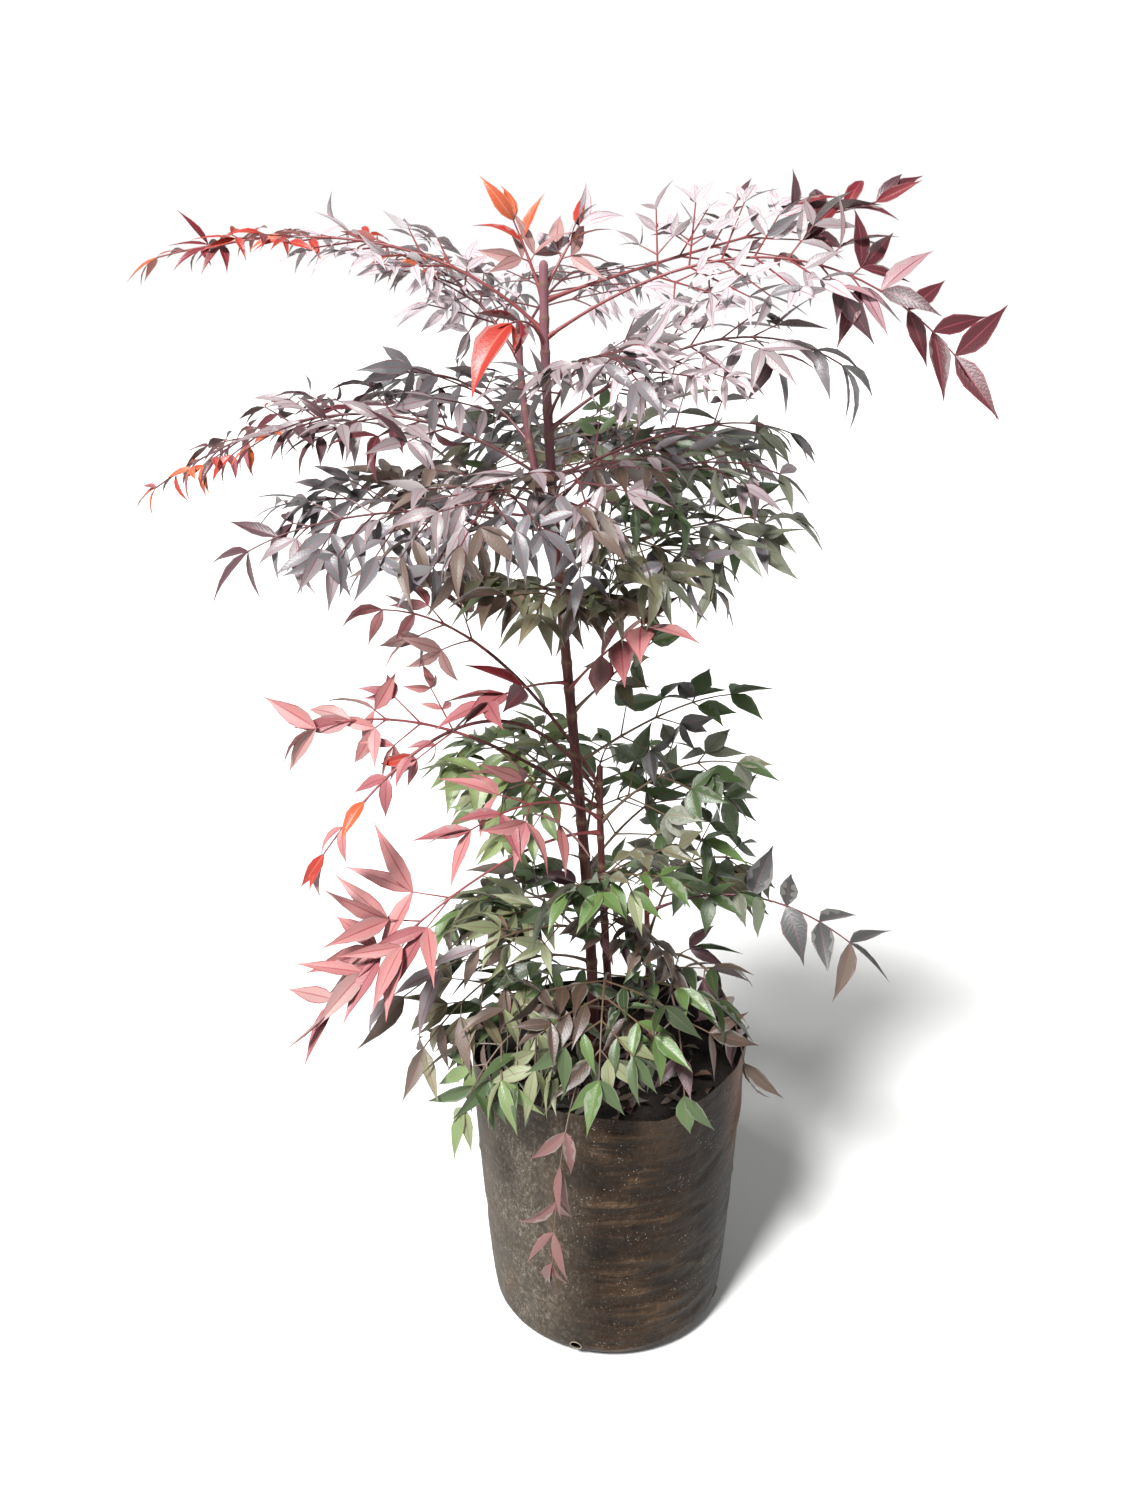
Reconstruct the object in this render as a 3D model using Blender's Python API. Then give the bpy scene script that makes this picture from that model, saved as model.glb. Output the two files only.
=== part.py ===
"""Potted heavenly bamboo: a soft grow bag of soil, three upright canes, a side shoot and its compound fronds.

Metres, +Z up. The origin is on the floor under the middle of the bag's rim, +X is the plant's right hand
side and -Y its front. Every frond grows by one seeded rule from the named sizes in its row.
"""
import math
from collections import namedtuple

import bpy
import numpy as np
from mathutils import Vector
from mathutils.bvhtree import BVHTree

for old_object in list(bpy.data.objects):
    bpy.data.objects.remove(old_object, do_unlink=True)

UP = np.array((0.0, 0.0, 1.0))
FRONT = np.array((0.0, -1.0, 0.0))

# Clearance between touching solids, the extra room that a leaf or twig needs round it, and the step in
# which a stem is moved out to its seat
GAP = 0.0003
ROOM = 0.0005
SEAT_STEP = 0.0001

# The bag: a round film wall with a soft lower corner, a little narrower from front to back, whose foot
# stands out to the right by the lean
BAG_HEIGHT = 0.312
BAG_RIM_RADIUS = 0.140
BAG_FOOT_RADIUS = 0.121
BAG_FLAT_RADIUS = 0.094
BAG_CORNER_HEIGHT = 0.026
BAG_BELLY = 0.75
BAG_WALL = 0.0022
BAG_FLOOR = 0.003
BAG_DEPTH_SHARE = 0.92
BAG_LEAN = 0.0045
BAG_SIDES = 28
BAG_CORNER_STEPS = 3
BAG_WALL_STEPS = 5
RIM_WAVE = 0.003
RIM_WAVE_START = 0.9
SOIL_TOP = 0.272
# The film's dents round the bag: how many, where they start in radians, and their depth as a share
BAG_DENTS = ((3, 0.6, 0.008), (5, 2.0, 0.005))

# The canes stand on the soil and flare a little at the foot
CANE_SIDES = 8
CANE_RING_GAP = 0.060
FLARE_SHARE = 0.45
FLARE_HEIGHT = 0.014
FLARE_RINGS = (0.0, 0.6, 1.8)
SHOOT_HEIGHT = 0.790

Cane = namedtuple("Cane", "name foot top foot_radius tip_radius")
CANES = (
    Cane("cane_main", (-0.012, 0.0), (-0.060, 0.0, 1.048), 0.0059, 0.0038),
    Cane("cane_front", (0.004, -0.024), (-0.010, -0.022, 0.615), 0.0046, 0.0030),
    Cane("cane_right", (0.046, 0.012), (0.038, 0.010, 0.505), 0.0036, 0.0024),
    Cane("shoot_back", None, (-0.083, 0.060, 1.000), 0.0042, 0.0028),
)
MAIN, NEAR, RIGHT, SHOOT = range(4)

# Ribs, twigs and leaves
RIB_RADIUS = 0.0019
RIB_TIP_RADIUS = 0.0012
RIB_RING_GAP = 0.060
TWIG_RADIUS = 0.0012
TWIG_TIP_RADIUS = 0.0009
TWIG_STEPS = 1
TWIG_SAG = 0.25
STALK_RADIUS = 0.0025
STALK_TIP_RADIUS = 0.0019
STALK_SIDES = 6
STALK_SHARE = 0.9
NODE_GAP = 0.058
TWIG_NODE_SHARE = 0.85
LEAF_SCALE = 1.40
LEAF_LIMIT = 0.42
LEAF_WIDTH = 0.30
LEAF_WIDEST = 0.42
LEAF_THICKNESS = 0.014
LEAF_HOOK = 0.07
LEAF_ROOT_DEPTH = 0.0003
LEAF_ROOT_HEIGHT = 0.0010
LEAF_STRAY = 0.10
TIP_STRAY = 0.03
LEAF_ROLL = 0.28
SAME_NODE = 0.006
TIP_SETBACK = 0.004
FIRST_SEED = 100

# How a frond branches: a node gets twigs where its pinnae are longer than this share of a leaflet, pinnae
# shorten towards the tip by a power, and angles are in degrees from what carries them, with those fronds
# whose pinnae sweep forward more or less than the rest
SPRAY_SHARE = 1.4
FULLNESS = 0.8
PINNA_TURN = 58
PINNA_TURNS = {
    "top_right_upper": 46, "top_right_lower": 62, "pink_left_high": 44, "pink_left": 46, "pink_left_low": 32,
    "pink_low_left": 42, "red_front_left": 44, "pink_front": 44, "skirt_left_high": 44, "skirt_hanging": 24,
    "skirt_right_long": 70,
}
PINNA_CLOSING = 14
PINNA_STRAY = 7
PINNA_RISE = (-0.12, 0.2)
LEAF_TURN = (42, 58)
LEAF_LENGTHS = (0.85, 1.1)
PINNA_TIP_DROOP = 0.7
FROND_TIP_DROOP = 0.3

# One row is one frond: the cane that carries it, its height there, its heading in degrees round from the
# right hand side, the reach and lift of its tip, the bow of its rib and how far out the bow's top is, how
# far its upper face leans to the front, the bare share of its rib, its longest pinna, its leaflet, the
# fall of its leaflets, and its colour.
Frond = namedtuple("Frond", "name cane height heading reach lift arch lead lean stalk spread leaf droop tint")
FRONDS = (
    Frond("top_left", MAIN, 0.995, 175, 0.358, 0.052, 0.05, 0.33, 0.2, 0.25, 0.09, 0.04, 0.05, "scarlet"),
    Frond("top_left_back", SHOOT, 0.97, 150, 0.17, 0.075, 0.04, 0.5, 0.1, 0.2, 0.1, 0.042, 0.2, "mauve"),
    Frond("top_spire_left", MAIN, 1.02, 150, 0.05, 0.1, 0.005, 0.5, 0.6, 0.3, 0.05, 0.046, -0.15, "scarlet"),
    Frond("top_spire_right", MAIN, 1.028, 35, 0.06, 0.085, 0.0, 0.5, 0.6, 0.3, 0.05, 0.045, -0.3, "scarlet"),
    Frond("top_right_upper", MAIN, 1.02, 9, 0.33, 0.09, 0.004, 0.25, 0.6, 0.35, 0.075, 0.059, -0.1, "wine"),
    Frond("top_right_lower", MAIN, 0.99, 350, 0.368, -0.053, 0.09, 0.6, 1.0, 0.25, 0.08, 0.07, -0.3, "wine"),
    Frond("top_front", MAIN, 0.985, 238, 0.108, -0.012, 0.024, 0.3, 0.8, 0.5, 0.03, 0.075, 0.4, "scarlet"),
    Frond("top_back", SHOOT, 0.985, 70, 0.27, 0.05, 0.035, 0.5, 0.0, 0.2, 0.13, 0.048, 0.35, "mauve"),
    Frond("mid_front_high", MAIN, 0.925, 292, 0.21, 0.02, 0.045, 0.5, 0.4, 0.15, 0.1, 0.048, 0.35, "mauve"),
    Frond("mid_right_high", MAIN, 0.915, 350, 0.275, 0.03, 0.06, 0.6, 0.5, 0.2, 0.1, 0.048, 0.2, "mauve"),
    Frond("mid_left_long", MAIN, 0.869, 177, 0.378, -0.023, 0.07, 0.45, 0.3, 0.25, 0.1, 0.04, 0.15, "mauve"),
    Frond("mid_right_back", MAIN, 0.873, 21, 0.27, 0.012, 0.036, 0.7, 0.3, 0.15, 0.12, 0.048, 0.3, "slate"),
    Frond("mid_front", MAIN, 0.85, 280, 0.2, -0.02, 0.05, 0.5, 0.3, 0.15, 0.12, 0.05, 0.45, "mauve"),
    Frond("mid_right", MAIN, 0.838, 354, 0.23, 0.022, 0.04, 0.6, 0.3, 0.15, 0.13, 0.05, 0.25, "slate"),
    Frond("mid_front_left", MAIN, 0.835, 250, 0.23, -0.01, 0.05, 0.5, 0.3, 0.15, 0.13, 0.05, 0.5, "mauve"),
    Frond("mid_left_low", MAIN, 0.84, 195, 0.302, -0.046, 0.036, 0.75, 0.6, 0.15, 0.13, 0.055, 0.35, "slate"),
    Frond("mid_left_back", MAIN, 0.826, 180, 0.275, 0.015, 0.022, 0.7, 0.3, 0.15, 0.11, 0.048, 0.25, "slate"),
    Frond("mid_front_right", MAIN, 0.815, 325, 0.19, -0.045, 0.036, 0.5, 0.3, 0.15, 0.12, 0.05, 0.35, "olive"),
    Frond("mid_right_low", MAIN, 0.79, 4, 0.25, 0.04, 0.024, 0.6, 0.3, 0.15, 0.14, 0.054, 0.15, "olive"),
    Frond("mid_low_front", MAIN, 0.765, 260, 0.15, -0.01, 0.03, 0.5, 0.5, 0.15, 0.12, 0.048, 0.45, "olive"),
    Frond("mid_back_left", SHOOT, 0.9, 145, 0.19, 0.03, 0.04, 0.5, 0.0, 0.15, 0.13, 0.055, 0.4, "slate"),
    Frond("mid_back", SHOOT, 0.85, 85, 0.27, 0.02, 0.045, 0.5, 0.0, 0.15, 0.14, 0.055, 0.5, "olive"),
    Frond("mid_back_right", MAIN, 0.85, 50, 0.3, 0.02, 0.045, 0.5, 0.0, 0.15, 0.14, 0.055, 0.5, "slate"),
    Frond("pink_left_high", NEAR, 0.596, 184, 0.23, 0.165, 0.06, 0.5, 1.0, 0.6, 0.07, 0.05, 0.5, "rose"),
    Frond("pink_left", NEAR, 0.574, 196, 0.294, 0.088, 0.05, 0.6, 0.9, 0.5, 0.07, 0.054, 0.1, "rose"),
    Frond("pink_left_low", NEAR, 0.586, 207, 0.288, -0.034, 0.106, 0.4, 0.8, 0.6, 0.04, 0.05, 0.1, "rose"),
    Frond("red_front_left", MAIN, 0.69, 235, 0.175, -0.005, 0.016, 0.6, 0.7, 0.4, 0.06, 0.06, 0.2, "wine"),
    Frond("pink_front_right", MAIN, 0.684, 300, 0.17, 0.11, 0.01, 0.5, 0.6, 0.35, 0.07, 0.06, 0.2, "rose"),
    Frond("open_right", MAIN, 0.66, 0, 0.1, 0.09, 0.004, 0.3, 0.3, 0.35, 0.05, 0.036, 0.2, "green"),
    Frond("green_right_high", MAIN, 0.61, 7, 0.182, 0.055, 0.024, 0.7, 0.6, 0.25, 0.07, 0.04, 0.25, "green"),
    Frond("green_right", NEAR, 0.56, 356, 0.16, 0.05, 0.035, 0.5, 0.6, 0.2, 0.08, 0.04, 0.35, "green"),
    Frond("pink_front", NEAR, 0.564, 228, 0.215, 0.03, 0.03, 0.4, 0.6, 0.3, 0.09, 0.056, 0.3, "rose"),
    Frond("pink_low_left", NEAR, 0.55, 210, 0.32, -0.14, 0.04, 0.35, 0.9, 0.45, 0.07, 0.074, -0.05, "rose"),
    Frond("green_left", MAIN, 0.58, 195, 0.12, -0.03, 0.03, 0.5, 0.6, 0.15, 0.11, 0.042, 0.4, "green"),
    Frond("green_front", NEAR, 0.5, 285, 0.12, 0.01, 0.03, 0.5, 0.6, 0.15, 0.11, 0.042, 0.45, "green"),
    Frond("green_back_left", MAIN, 0.56, 140, 0.18, 0.02, 0.04, 0.5, 0.0, 0.2, 0.13, 0.05, 0.45, "green"),
    Frond("green_back", MAIN, 0.52, 80, 0.22, 0.03, 0.04, 0.5, 0.0, 0.2, 0.14, 0.05, 0.45, "green"),
    Frond("green_back_right", MAIN, 0.5, 40, 0.22, 0.03, 0.04, 0.5, 0.0, 0.2, 0.14, 0.05, 0.45, "green"),
    Frond("skirt_right_high", RIGHT, 0.48, 10, 0.14, -0.01, 0.03, 0.5, 0.4, 0.1, 0.1, 0.046, 0.1, "bronze"),
    Frond("skirt_right_long", RIGHT, 0.45, 346, 0.24, -0.045, 0.05, 0.5, 0.6, 0.4, 0.04, 0.066, 0.0, "slate"),
    Frond("skirt_left_high", NEAR, 0.44, 203, 0.245, -0.046, 0.042, 0.35, 0.6, 0.2, 0.09, 0.052, 0.1, "bronze"),
    Frond("skirt_left", MAIN, 0.4, 214, 0.22, -0.065, 0.055, 0.5, 0.6, 0.2, 0.12, 0.048, 0.3, "bronze"),
    Frond("skirt_left_low", NEAR, 0.36, 219, 0.195, -0.08, 0.07, 0.7, 0.6, 0.2, 0.11, 0.046, 0.45, "bronze"),
    Frond("skirt_front", NEAR, 0.4, 265, 0.15, -0.07, 0.06, 0.7, 0.5, 0.15, 0.12, 0.046, 0.4, "green"),
    Frond("skirt_hanging", NEAR, 0.345, 252, 0.185, -0.19, 0.12, 0.95, 1.0, 0.6, 0.03, 0.052, 0.1, "rose"),
    Frond("skirt_front_right", RIGHT, 0.39, 280, 0.155, -0.1, 0.08, 0.8, 0.6, 0.2, 0.1, 0.05, 0.35, "green"),
    Frond("skirt_middle", RIGHT, 0.43, 240, 0.13, 0.02, 0.03, 0.5, 0.6, 0.15, 0.11, 0.048, 0.2, "bronze"),
    Frond("skirt_right", RIGHT, 0.4, 314, 0.135, -0.11, 0.08, 0.8, 0.6, 0.2, 0.09, 0.05, 0.6, "bronze"),
    Frond("skirt_back_left", MAIN, 0.42, 150, 0.19, -0.06, 0.07, 0.6, 0.0, 0.2, 0.12, 0.055, 0.55, "bronze"),
    Frond("skirt_back_right", RIGHT, 0.42, 65, 0.19, -0.06, 0.07, 0.6, 0.0, 0.2, 0.12, 0.055, 0.55, "green"),
)
# Fronds whose long bare stalk is a bough of its own
STALKED = ("pink_left_high", "pink_left", "pink_left_low")

# Colour, roughness and metallic value of each finish
FINISHES = {
    "film": ((0.045, 0.034, 0.026), 0.55, 0.0),
    "soil": ((0.020, 0.014, 0.010), 0.95, 0.0),
    "bark": ((0.110, 0.045, 0.050), 0.60, 0.0),
    "scarlet": ((0.550, 0.060, 0.030), 0.40, 0.0),
    "wine": ((0.220, 0.045, 0.055), 0.40, 0.0),
    "rose": ((0.520, 0.140, 0.140), 0.45, 0.0),
    "mauve": ((0.260, 0.190, 0.200), 0.35, 0.0),
    "slate": ((0.150, 0.130, 0.135), 0.35, 0.0),
    "bronze": ((0.200, 0.150, 0.100), 0.45, 0.0),
    "olive": ((0.130, 0.150, 0.080), 0.40, 0.0),
    "green": ((0.080, 0.190, 0.070), 0.40, 0.0),
}


def unit(vector):
    return vector / np.linalg.norm(vector)


def finish(name):
    """The plain material of a finish, made once."""
    found = bpy.data.materials.get(name)
    if found:
        return found
    colour, roughness, metallic = FINISHES[name]
    material = bpy.data.materials.new(name)
    material.use_nodes = True
    shader = material.node_tree.nodes["Principled BSDF"]
    shader.inputs["Base Color"].default_value = (*colour, 1.0)
    shader.inputs["Roughness"].default_value = roughness
    shader.inputs["Metallic"].default_value = metallic
    return material


def add_object(name, shape, finish_name=None):
    """A new object from a shape, which is its points and its faces."""
    points, faces = shape
    mesh = bpy.data.meshes.new(name)
    mesh.from_pydata([tuple(point) for point in points], [], faces)
    mesh.validate()
    made = bpy.data.objects.new(name, mesh)
    bpy.context.scene.collection.objects.link(made)
    if finish_name:
        mesh.materials.append(finish(finish_name))
    return made


def loft(rings, close_ends=True):
    """Skin over rings of equal size, which turn to the left as seen from the far end."""
    sides = len(rings[0])
    points = np.concatenate(rings)
    faces = []
    for ring in range(len(rings) - 1):
        for side in range(sides):
            a = ring * sides + side
            b = ring * sides + (side + 1) % sides
            faces.append((a, b, b + sides, a + sides))
    if close_ends:
        last = (len(rings) - 1) * sides
        faces.append(tuple(reversed(range(sides))))
        faces.append(tuple(range(last, last + sides)))
    return points, faces


# The bag and its soil


def bag_radius(height):
    """Outer radius of the bag's side: a soft corner at the floor, then a wall that widens to the rim."""
    if height < BAG_CORNER_HEIGHT:
        drop = 1 - height / BAG_CORNER_HEIGHT
        return BAG_FLAT_RADIUS + (BAG_FOOT_RADIUS - BAG_FLAT_RADIUS) * math.sqrt(1 - drop * drop)
    share = (height - BAG_CORNER_HEIGHT) / (BAG_HEIGHT - BAG_CORNER_HEIGHT)
    return BAG_FOOT_RADIUS + (BAG_RIM_RADIUS - BAG_FOOT_RADIUS) * share ** BAG_BELLY


def bag_ring(radius, height, wave=0.0):
    """One level of the bag, with the soft dents of its film growing upwards."""
    ring = []
    shift = BAG_LEAN * (1 - height / BAG_HEIGHT)
    for side in range(BAG_SIDES):
        turn = 2 * math.pi * side / BAG_SIDES
        dent = sum(depth * math.sin(count * turn + start) for count, start, depth in BAG_DENTS)
        reach = radius * (1 + dent * height / BAG_HEIGHT)
        rise = wave * math.sin(2 * turn + RIM_WAVE_START)
        across = reach * math.cos(turn) + shift
        ring.append((across, BAG_DEPTH_SHARE * reach * math.sin(turn), height + rise))
    return np.array(ring)


def wall_heights(start):
    corner = [BAG_CORNER_HEIGHT * (1 - math.cos(math.pi / 2 * step / BAG_CORNER_STEPS))
              for step in range(BAG_CORNER_STEPS)]
    rise = BAG_HEIGHT - BAG_CORNER_HEIGHT
    wall = [BAG_CORNER_HEIGHT + rise * step / BAG_WALL_STEPS for step in range(BAG_WALL_STEPS + 1)]
    return [height for height in corner + wall if height >= start]


def make_bag():
    outside = [bag_ring(bag_radius(height), height, RIM_WAVE if height == BAG_HEIGHT else 0.0)
               for height in wall_heights(0.0)]
    inside = [bag_ring(bag_radius(height) - BAG_WALL, height, RIM_WAVE if height == BAG_HEIGHT else 0.0)
              for height in reversed(wall_heights(BAG_FLOOR * 1.5))]
    floor = bag_ring(bag_radius(BAG_FLOOR) - BAG_WALL * 2, BAG_FLOOR)
    return add_object("bag", loft(outside + inside + [floor]), "film")


def make_soil():
    """The root ball and soil, clear of the film all round, flat on top."""
    inset = BAG_WALL + GAP * 2
    low = BAG_FLOOR + GAP
    heights = [height for height in wall_heights(BAG_FLOOR * 1.5) if height < SOIL_TOP]
    rings = [bag_ring(bag_radius(BAG_FLOOR) - BAG_WALL * 2 - GAP, low)]
    rings += [bag_ring(bag_radius(height) - inset, height) for height in heights]
    rings.append(bag_ring(bag_radius(SOIL_TOP) - inset, SOIL_TOP))
    return add_object("soil", loft(rings), "soil")


# Canes


def cane_foot(cane):
    if cane.foot is None:
        return cane_point(CANES[MAIN], SHOOT_HEIGHT)
    return np.array((cane.foot[0], cane.foot[1], SOIL_TOP))


def cane_point(cane, height):
    """Middle of a cane at a height: a cane leaves the soil upright, leans over and ends upright, and a
    side shoot leaves its cane at a slant and turns up."""
    foot = cane_foot(cane)
    share = (height - foot[2]) / (cane.top[2] - foot[2])
    shift = share * share * (3 - 2 * share) if cane.foot else math.sin(share * math.pi / 2)
    across = foot[0] + (cane.top[0] - foot[0]) * shift
    back = foot[1] + (cane.top[1] - foot[1]) * shift
    return np.array((across, back, height))


def cane_radius(cane, height):
    foot = cane_foot(cane)
    share = (height - foot[2]) / (cane.top[2] - foot[2])
    radius = cane.foot_radius + (cane.tip_radius - cane.foot_radius) * share
    if cane.foot is None:
        return radius
    return radius * (1 + FLARE_SHARE * math.exp(-(height - foot[2]) / FLARE_HEIGHT))


def is_clear(limb, ring):
    """True if the flat end that a ring bounds lies at least the gap outside a limb's solid."""
    end = np.vstack([ring + (np.roll(ring, 1, axis=0) - ring) * share for share in (0, 0.25, 0.5, 0.75)]
                    + [ring.mean(axis=0)])
    for point in end:
        near, outward, _, apart = limb.find_nearest(point)
        if apart < GAP or (Vector(point) - near).dot(outward) < 0:
            return False
    return True


def cane_start(cane, limbs):
    """Lowest height of a cane's solid: just over the soil, or where a shoot is clear of its cane."""
    if cane.foot:
        return SOIL_TOP + GAP
    height = SHOOT_HEIGHT
    while not is_clear(limbs[MAIN], level_ring(cane_point(cane, height), cane_radius(cane, height), CANE_SIDES)):
        height += SEAT_STEP
    return height


def level_ring(middle, radius, sides):
    turns = 2 * math.pi * np.arange(sides) / sides
    return middle + radius * np.stack((np.cos(turns), np.sin(turns), np.zeros(sides)), axis=1)


def make_cane(cane, limbs):
    low = cane_start(cane, limbs)
    high = cane.top[2]
    flare = [low + FLARE_HEIGHT * share for share in FLARE_RINGS] if cane.foot else [low]
    count = round((high - flare[-1]) / CANE_RING_GAP)
    heights = flare[:-1] + list(np.linspace(flare[-1], high, count + 1))
    rings = [level_ring(cane_point(cane, height), cane_radius(cane, height), CANE_SIDES) for height in heights]
    return add_object(cane.name, loft(rings), "bark")


# Ribs and twigs


class Rib:
    """A curve whose places are given by their distance from its foot."""

    def __init__(self, points):
        self.points = np.asarray(points)
        steps = np.linalg.norm(np.diff(self.points, axis=0), axis=1)
        self.reached = np.concatenate(((0.0,), np.cumsum(steps)))
        self.length = self.reached[-1]

    def at(self, distance):
        return np.array([np.interp(distance, self.reached, self.points[:, axis]) for axis in range(3)])

    def ahead(self, distance):
        step = self.length / 50
        return unit(self.at(min(distance + step, self.length)) - self.at(max(distance - step, 0.0)))


def frond_rib(frond):
    """The bowed middle line of a frond, from the middle of its cane to its tip."""
    turn = math.radians(frond.heading)
    out = np.array((math.cos(turn), math.sin(turn), 0.0))
    foot = cane_point(CANES[frond.cane], frond.height)
    tip = foot + out * frond.reach + UP * frond.lift
    over = foot + out * frond.reach * frond.lead + UP * (frond.lift * frond.lead + 2 * frond.arch)
    share = np.linspace(0, 1, 41)[:, None]
    return Rib((1 - share) ** 2 * foot + 2 * share * (1 - share) * over + share ** 2 * tip)


def ring_across(rib, distance, radius, sides, face=UP):
    """Points round a rib, in the plane across it, starting on the side that the face looks to."""
    ahead = rib.ahead(distance)
    side = unit(np.cross(face, ahead))
    face = np.cross(ahead, side)
    turns = math.pi / 2 + 2 * math.pi * np.arange(sides) / sides
    return rib.at(distance) + radius * (np.outer(np.cos(turns), side) + np.outer(np.sin(turns), face))


def tube(rib, start, end, radius, tip_radius, sides, steps, face=UP):
    rings = []
    for share in np.linspace(0, 1, steps + 1):
        distance = start + (end - start) * share
        rings.append(ring_across(rib, distance, radius + (tip_radius - radius) * share, sides, face))
    return loft(rings)


def clear_start(rib, limb, radius, sides, face=UP):
    """Distance along a rib at which its flat end lies just clear of the limb that carries it."""
    distance = 0.0
    while not is_clear(limb, ring_across(rib, distance, radius, sides, face)):
        distance += SEAT_STEP
    return distance


# Leaves

Leaf = namedtuple("Leaf", "root ahead face length")


def aim_leaf(root, ahead, face, length, droop, rng, stray=LEAF_STRAY):
    """A leaflet that sets off ahead, falls by the droop and is turned a little by chance."""
    ahead = unit(ahead - UP * droop + rng.normal(0, stray, 3))
    face = unit(face + rng.normal(0, LEAF_ROLL, 3))
    face = unit(face - ahead * face.dot(ahead))
    return Leaf(root, ahead, face, length * rng.uniform(*LEAF_LENGTHS))


def blade_points(leaf, room=0.0):
    """The left and right ends of a leaf's widest line, the top of its raised rib there, and its hooked tip."""
    side = np.cross(leaf.face, leaf.ahead)
    half = leaf.length * LEAF_WIDTH / 2 + room
    thick = leaf.length * LEAF_THICKNESS + room
    widest = leaf.root + leaf.ahead * leaf.length * LEAF_WIDEST
    tip = leaf.root + leaf.ahead * (leaf.length + room) - leaf.face * leaf.length * LEAF_HOOK
    return [widest + side * half, widest - side * half, widest + leaf.face * thick, tip]


def leaf_shape(leaf, room=0.0):
    """A closed leaf of eight faces, from a tall root edge inside its twig to its tip."""
    root = leaf.root - leaf.ahead * LEAF_ROOT_DEPTH
    half_height = leaf.face * (LEAF_ROOT_HEIGHT / 2 + room)
    points = [root + half_height, root - half_height] + blade_points(leaf, room)
    faces = [(0, 4, 2), (4, 5, 2), (0, 3, 4), (4, 3, 5), (1, 2, 3), (2, 5, 3), (0, 2, 1), (0, 1, 3)]
    return np.array(points), faces


def leafed_tube(rib, start, end, radius, tip_radius, steps, leaf):
    """A three-sided twig or rib that runs straight on into the leaf at its end."""
    points, faces = tube(rib, start, end, radius, tip_radius, 3, steps, leaf.face)
    top = len(points) - 3
    right = top + 1
    left = top + 2
    wide_left, wide_right, ridge, tip = range(top + 3, top + 7)
    faces = faces[:-1] + [
        (top, ridge, wide_left), (top, wide_right, ridge),
        (ridge, tip, wide_left), (ridge, wide_right, tip),
        (top, wide_left, left), (top, right, wide_right),
        (left, wide_left, wide_right), (left, wide_right, right),
        (wide_left, tip, wide_right),
    ]
    return np.vstack((points, blade_points(leaf))), faces


# Room in the crown


class Crown:
    """What already stands in the crown, so that a new twig or leaf can be tested against it."""

    def __init__(self):
        self.owners = []
        self.boxes = []
        self.trees = []

    def add(self, owner, shape):
        points = np.asarray(shape[0])
        self.owners.append(owner)
        self.boxes.append(np.concatenate((points.min(axis=0), -points.max(axis=0))))
        self.trees.append(tree_of(shape))

    def is_free(self, owner, shape):
        """True if the shape meets nothing that belongs to another owner."""
        points = np.asarray(shape[0])
        low = points.min(axis=0)
        high = points.max(axis=0)
        boxes = np.array(self.boxes)
        near = (boxes[:, :3] <= high).all(axis=1) & (-boxes[:, 3:] >= low).all(axis=1)
        tree = tree_of(shape)
        for place in np.flatnonzero(near):
            if self.owners[place] != owner and tree.overlap(self.trees[place]):
                return False
        return True


def tree_of(shape):
    points, faces = shape
    return BVHTree.FromPolygons([tuple(point) for point in points], faces)


# Growing a frond


def spray(root, ahead, face, length, leaf, frond, rng):
    """A pinna: its twig, and the leaflets in pairs along it and one at its tip."""
    stem = length - leaf
    shares = np.linspace(0, 1, TWIG_STEPS + 1)
    sag = TWIG_SAG * max(frond.droop, 0)
    twig = Rib([root + ahead * stem * share - UP * sag * stem * share * share for share in shares])
    leaves = []
    count = max(1, round(stem / (NODE_GAP * TWIG_NODE_SHARE)))
    for node in range(1, count + 1):
        along = (twig.length - TIP_SETBACK) * node / count
        on = twig.ahead(along)
        side = unit(np.cross(face, on))
        for hand in (-1, 1):
            turn = math.radians(rng.uniform(*LEAF_TURN))
            away = on * math.cos(turn) + side * hand * math.sin(turn)
            leaves.append(aim_leaf(twig.at(along), away, face, leaf, frond.droop, rng))
    end = twig.length
    last = aim_leaf(twig.at(end), twig.ahead(end), face, leaf, frond.droop * PINNA_TIP_DROOP, rng)
    return twig, leaves, last


def leaf_length(frond, rib):
    """A frond's leaflet as modelled, larger than life but never most of its rib."""
    return min(frond.leaf * LEAF_SCALE, rib.length * LEAF_LIMIT)


def grow(frond, rib, rng):
    """The sprays and single leaflets of a frond, in opposite pairs from its stalk on, and its last leaflet."""
    leaf = leaf_length(frond, rib)
    end = rib.length - leaf
    first = rib.length * frond.stalk
    count = max(1, round((end - first) / NODE_GAP))
    sprays = []
    singles = []
    for node in range(count + 1):
        gone = node / count
        along = first + (end - TIP_SETBACK - first) * gone
        on = rib.ahead(along)
        side = unit(np.cross(UP + FRONT * frond.lean, on))
        face = unit(np.cross(on, side))
        size = frond.spread * (1 - gone ** 2) ** FULLNESS
        for hand in (-1, 1):
            turn = PINNA_TURNS.get(frond.name, PINNA_TURN) - PINNA_CLOSING * gone
            turn = math.radians(turn + rng.uniform(-PINNA_STRAY, PINNA_STRAY))
            away = on * math.cos(turn) + side * hand * math.sin(turn)
            away = unit(away + face * rng.uniform(*PINNA_RISE))
            if size > SPRAY_SHARE * leaf:
                sprays.append(spray(rib.at(along), away, face, size, leaf, frond, rng))
            else:
                singles.append(aim_leaf(rib.at(along), away, face, leaf, frond.droop, rng))
    last = aim_leaf(rib.at(end), rib.ahead(end), face, leaf, frond.droop * FROND_TIP_DROOP, rng, TIP_STRAY)
    return sprays, singles, last


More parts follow.
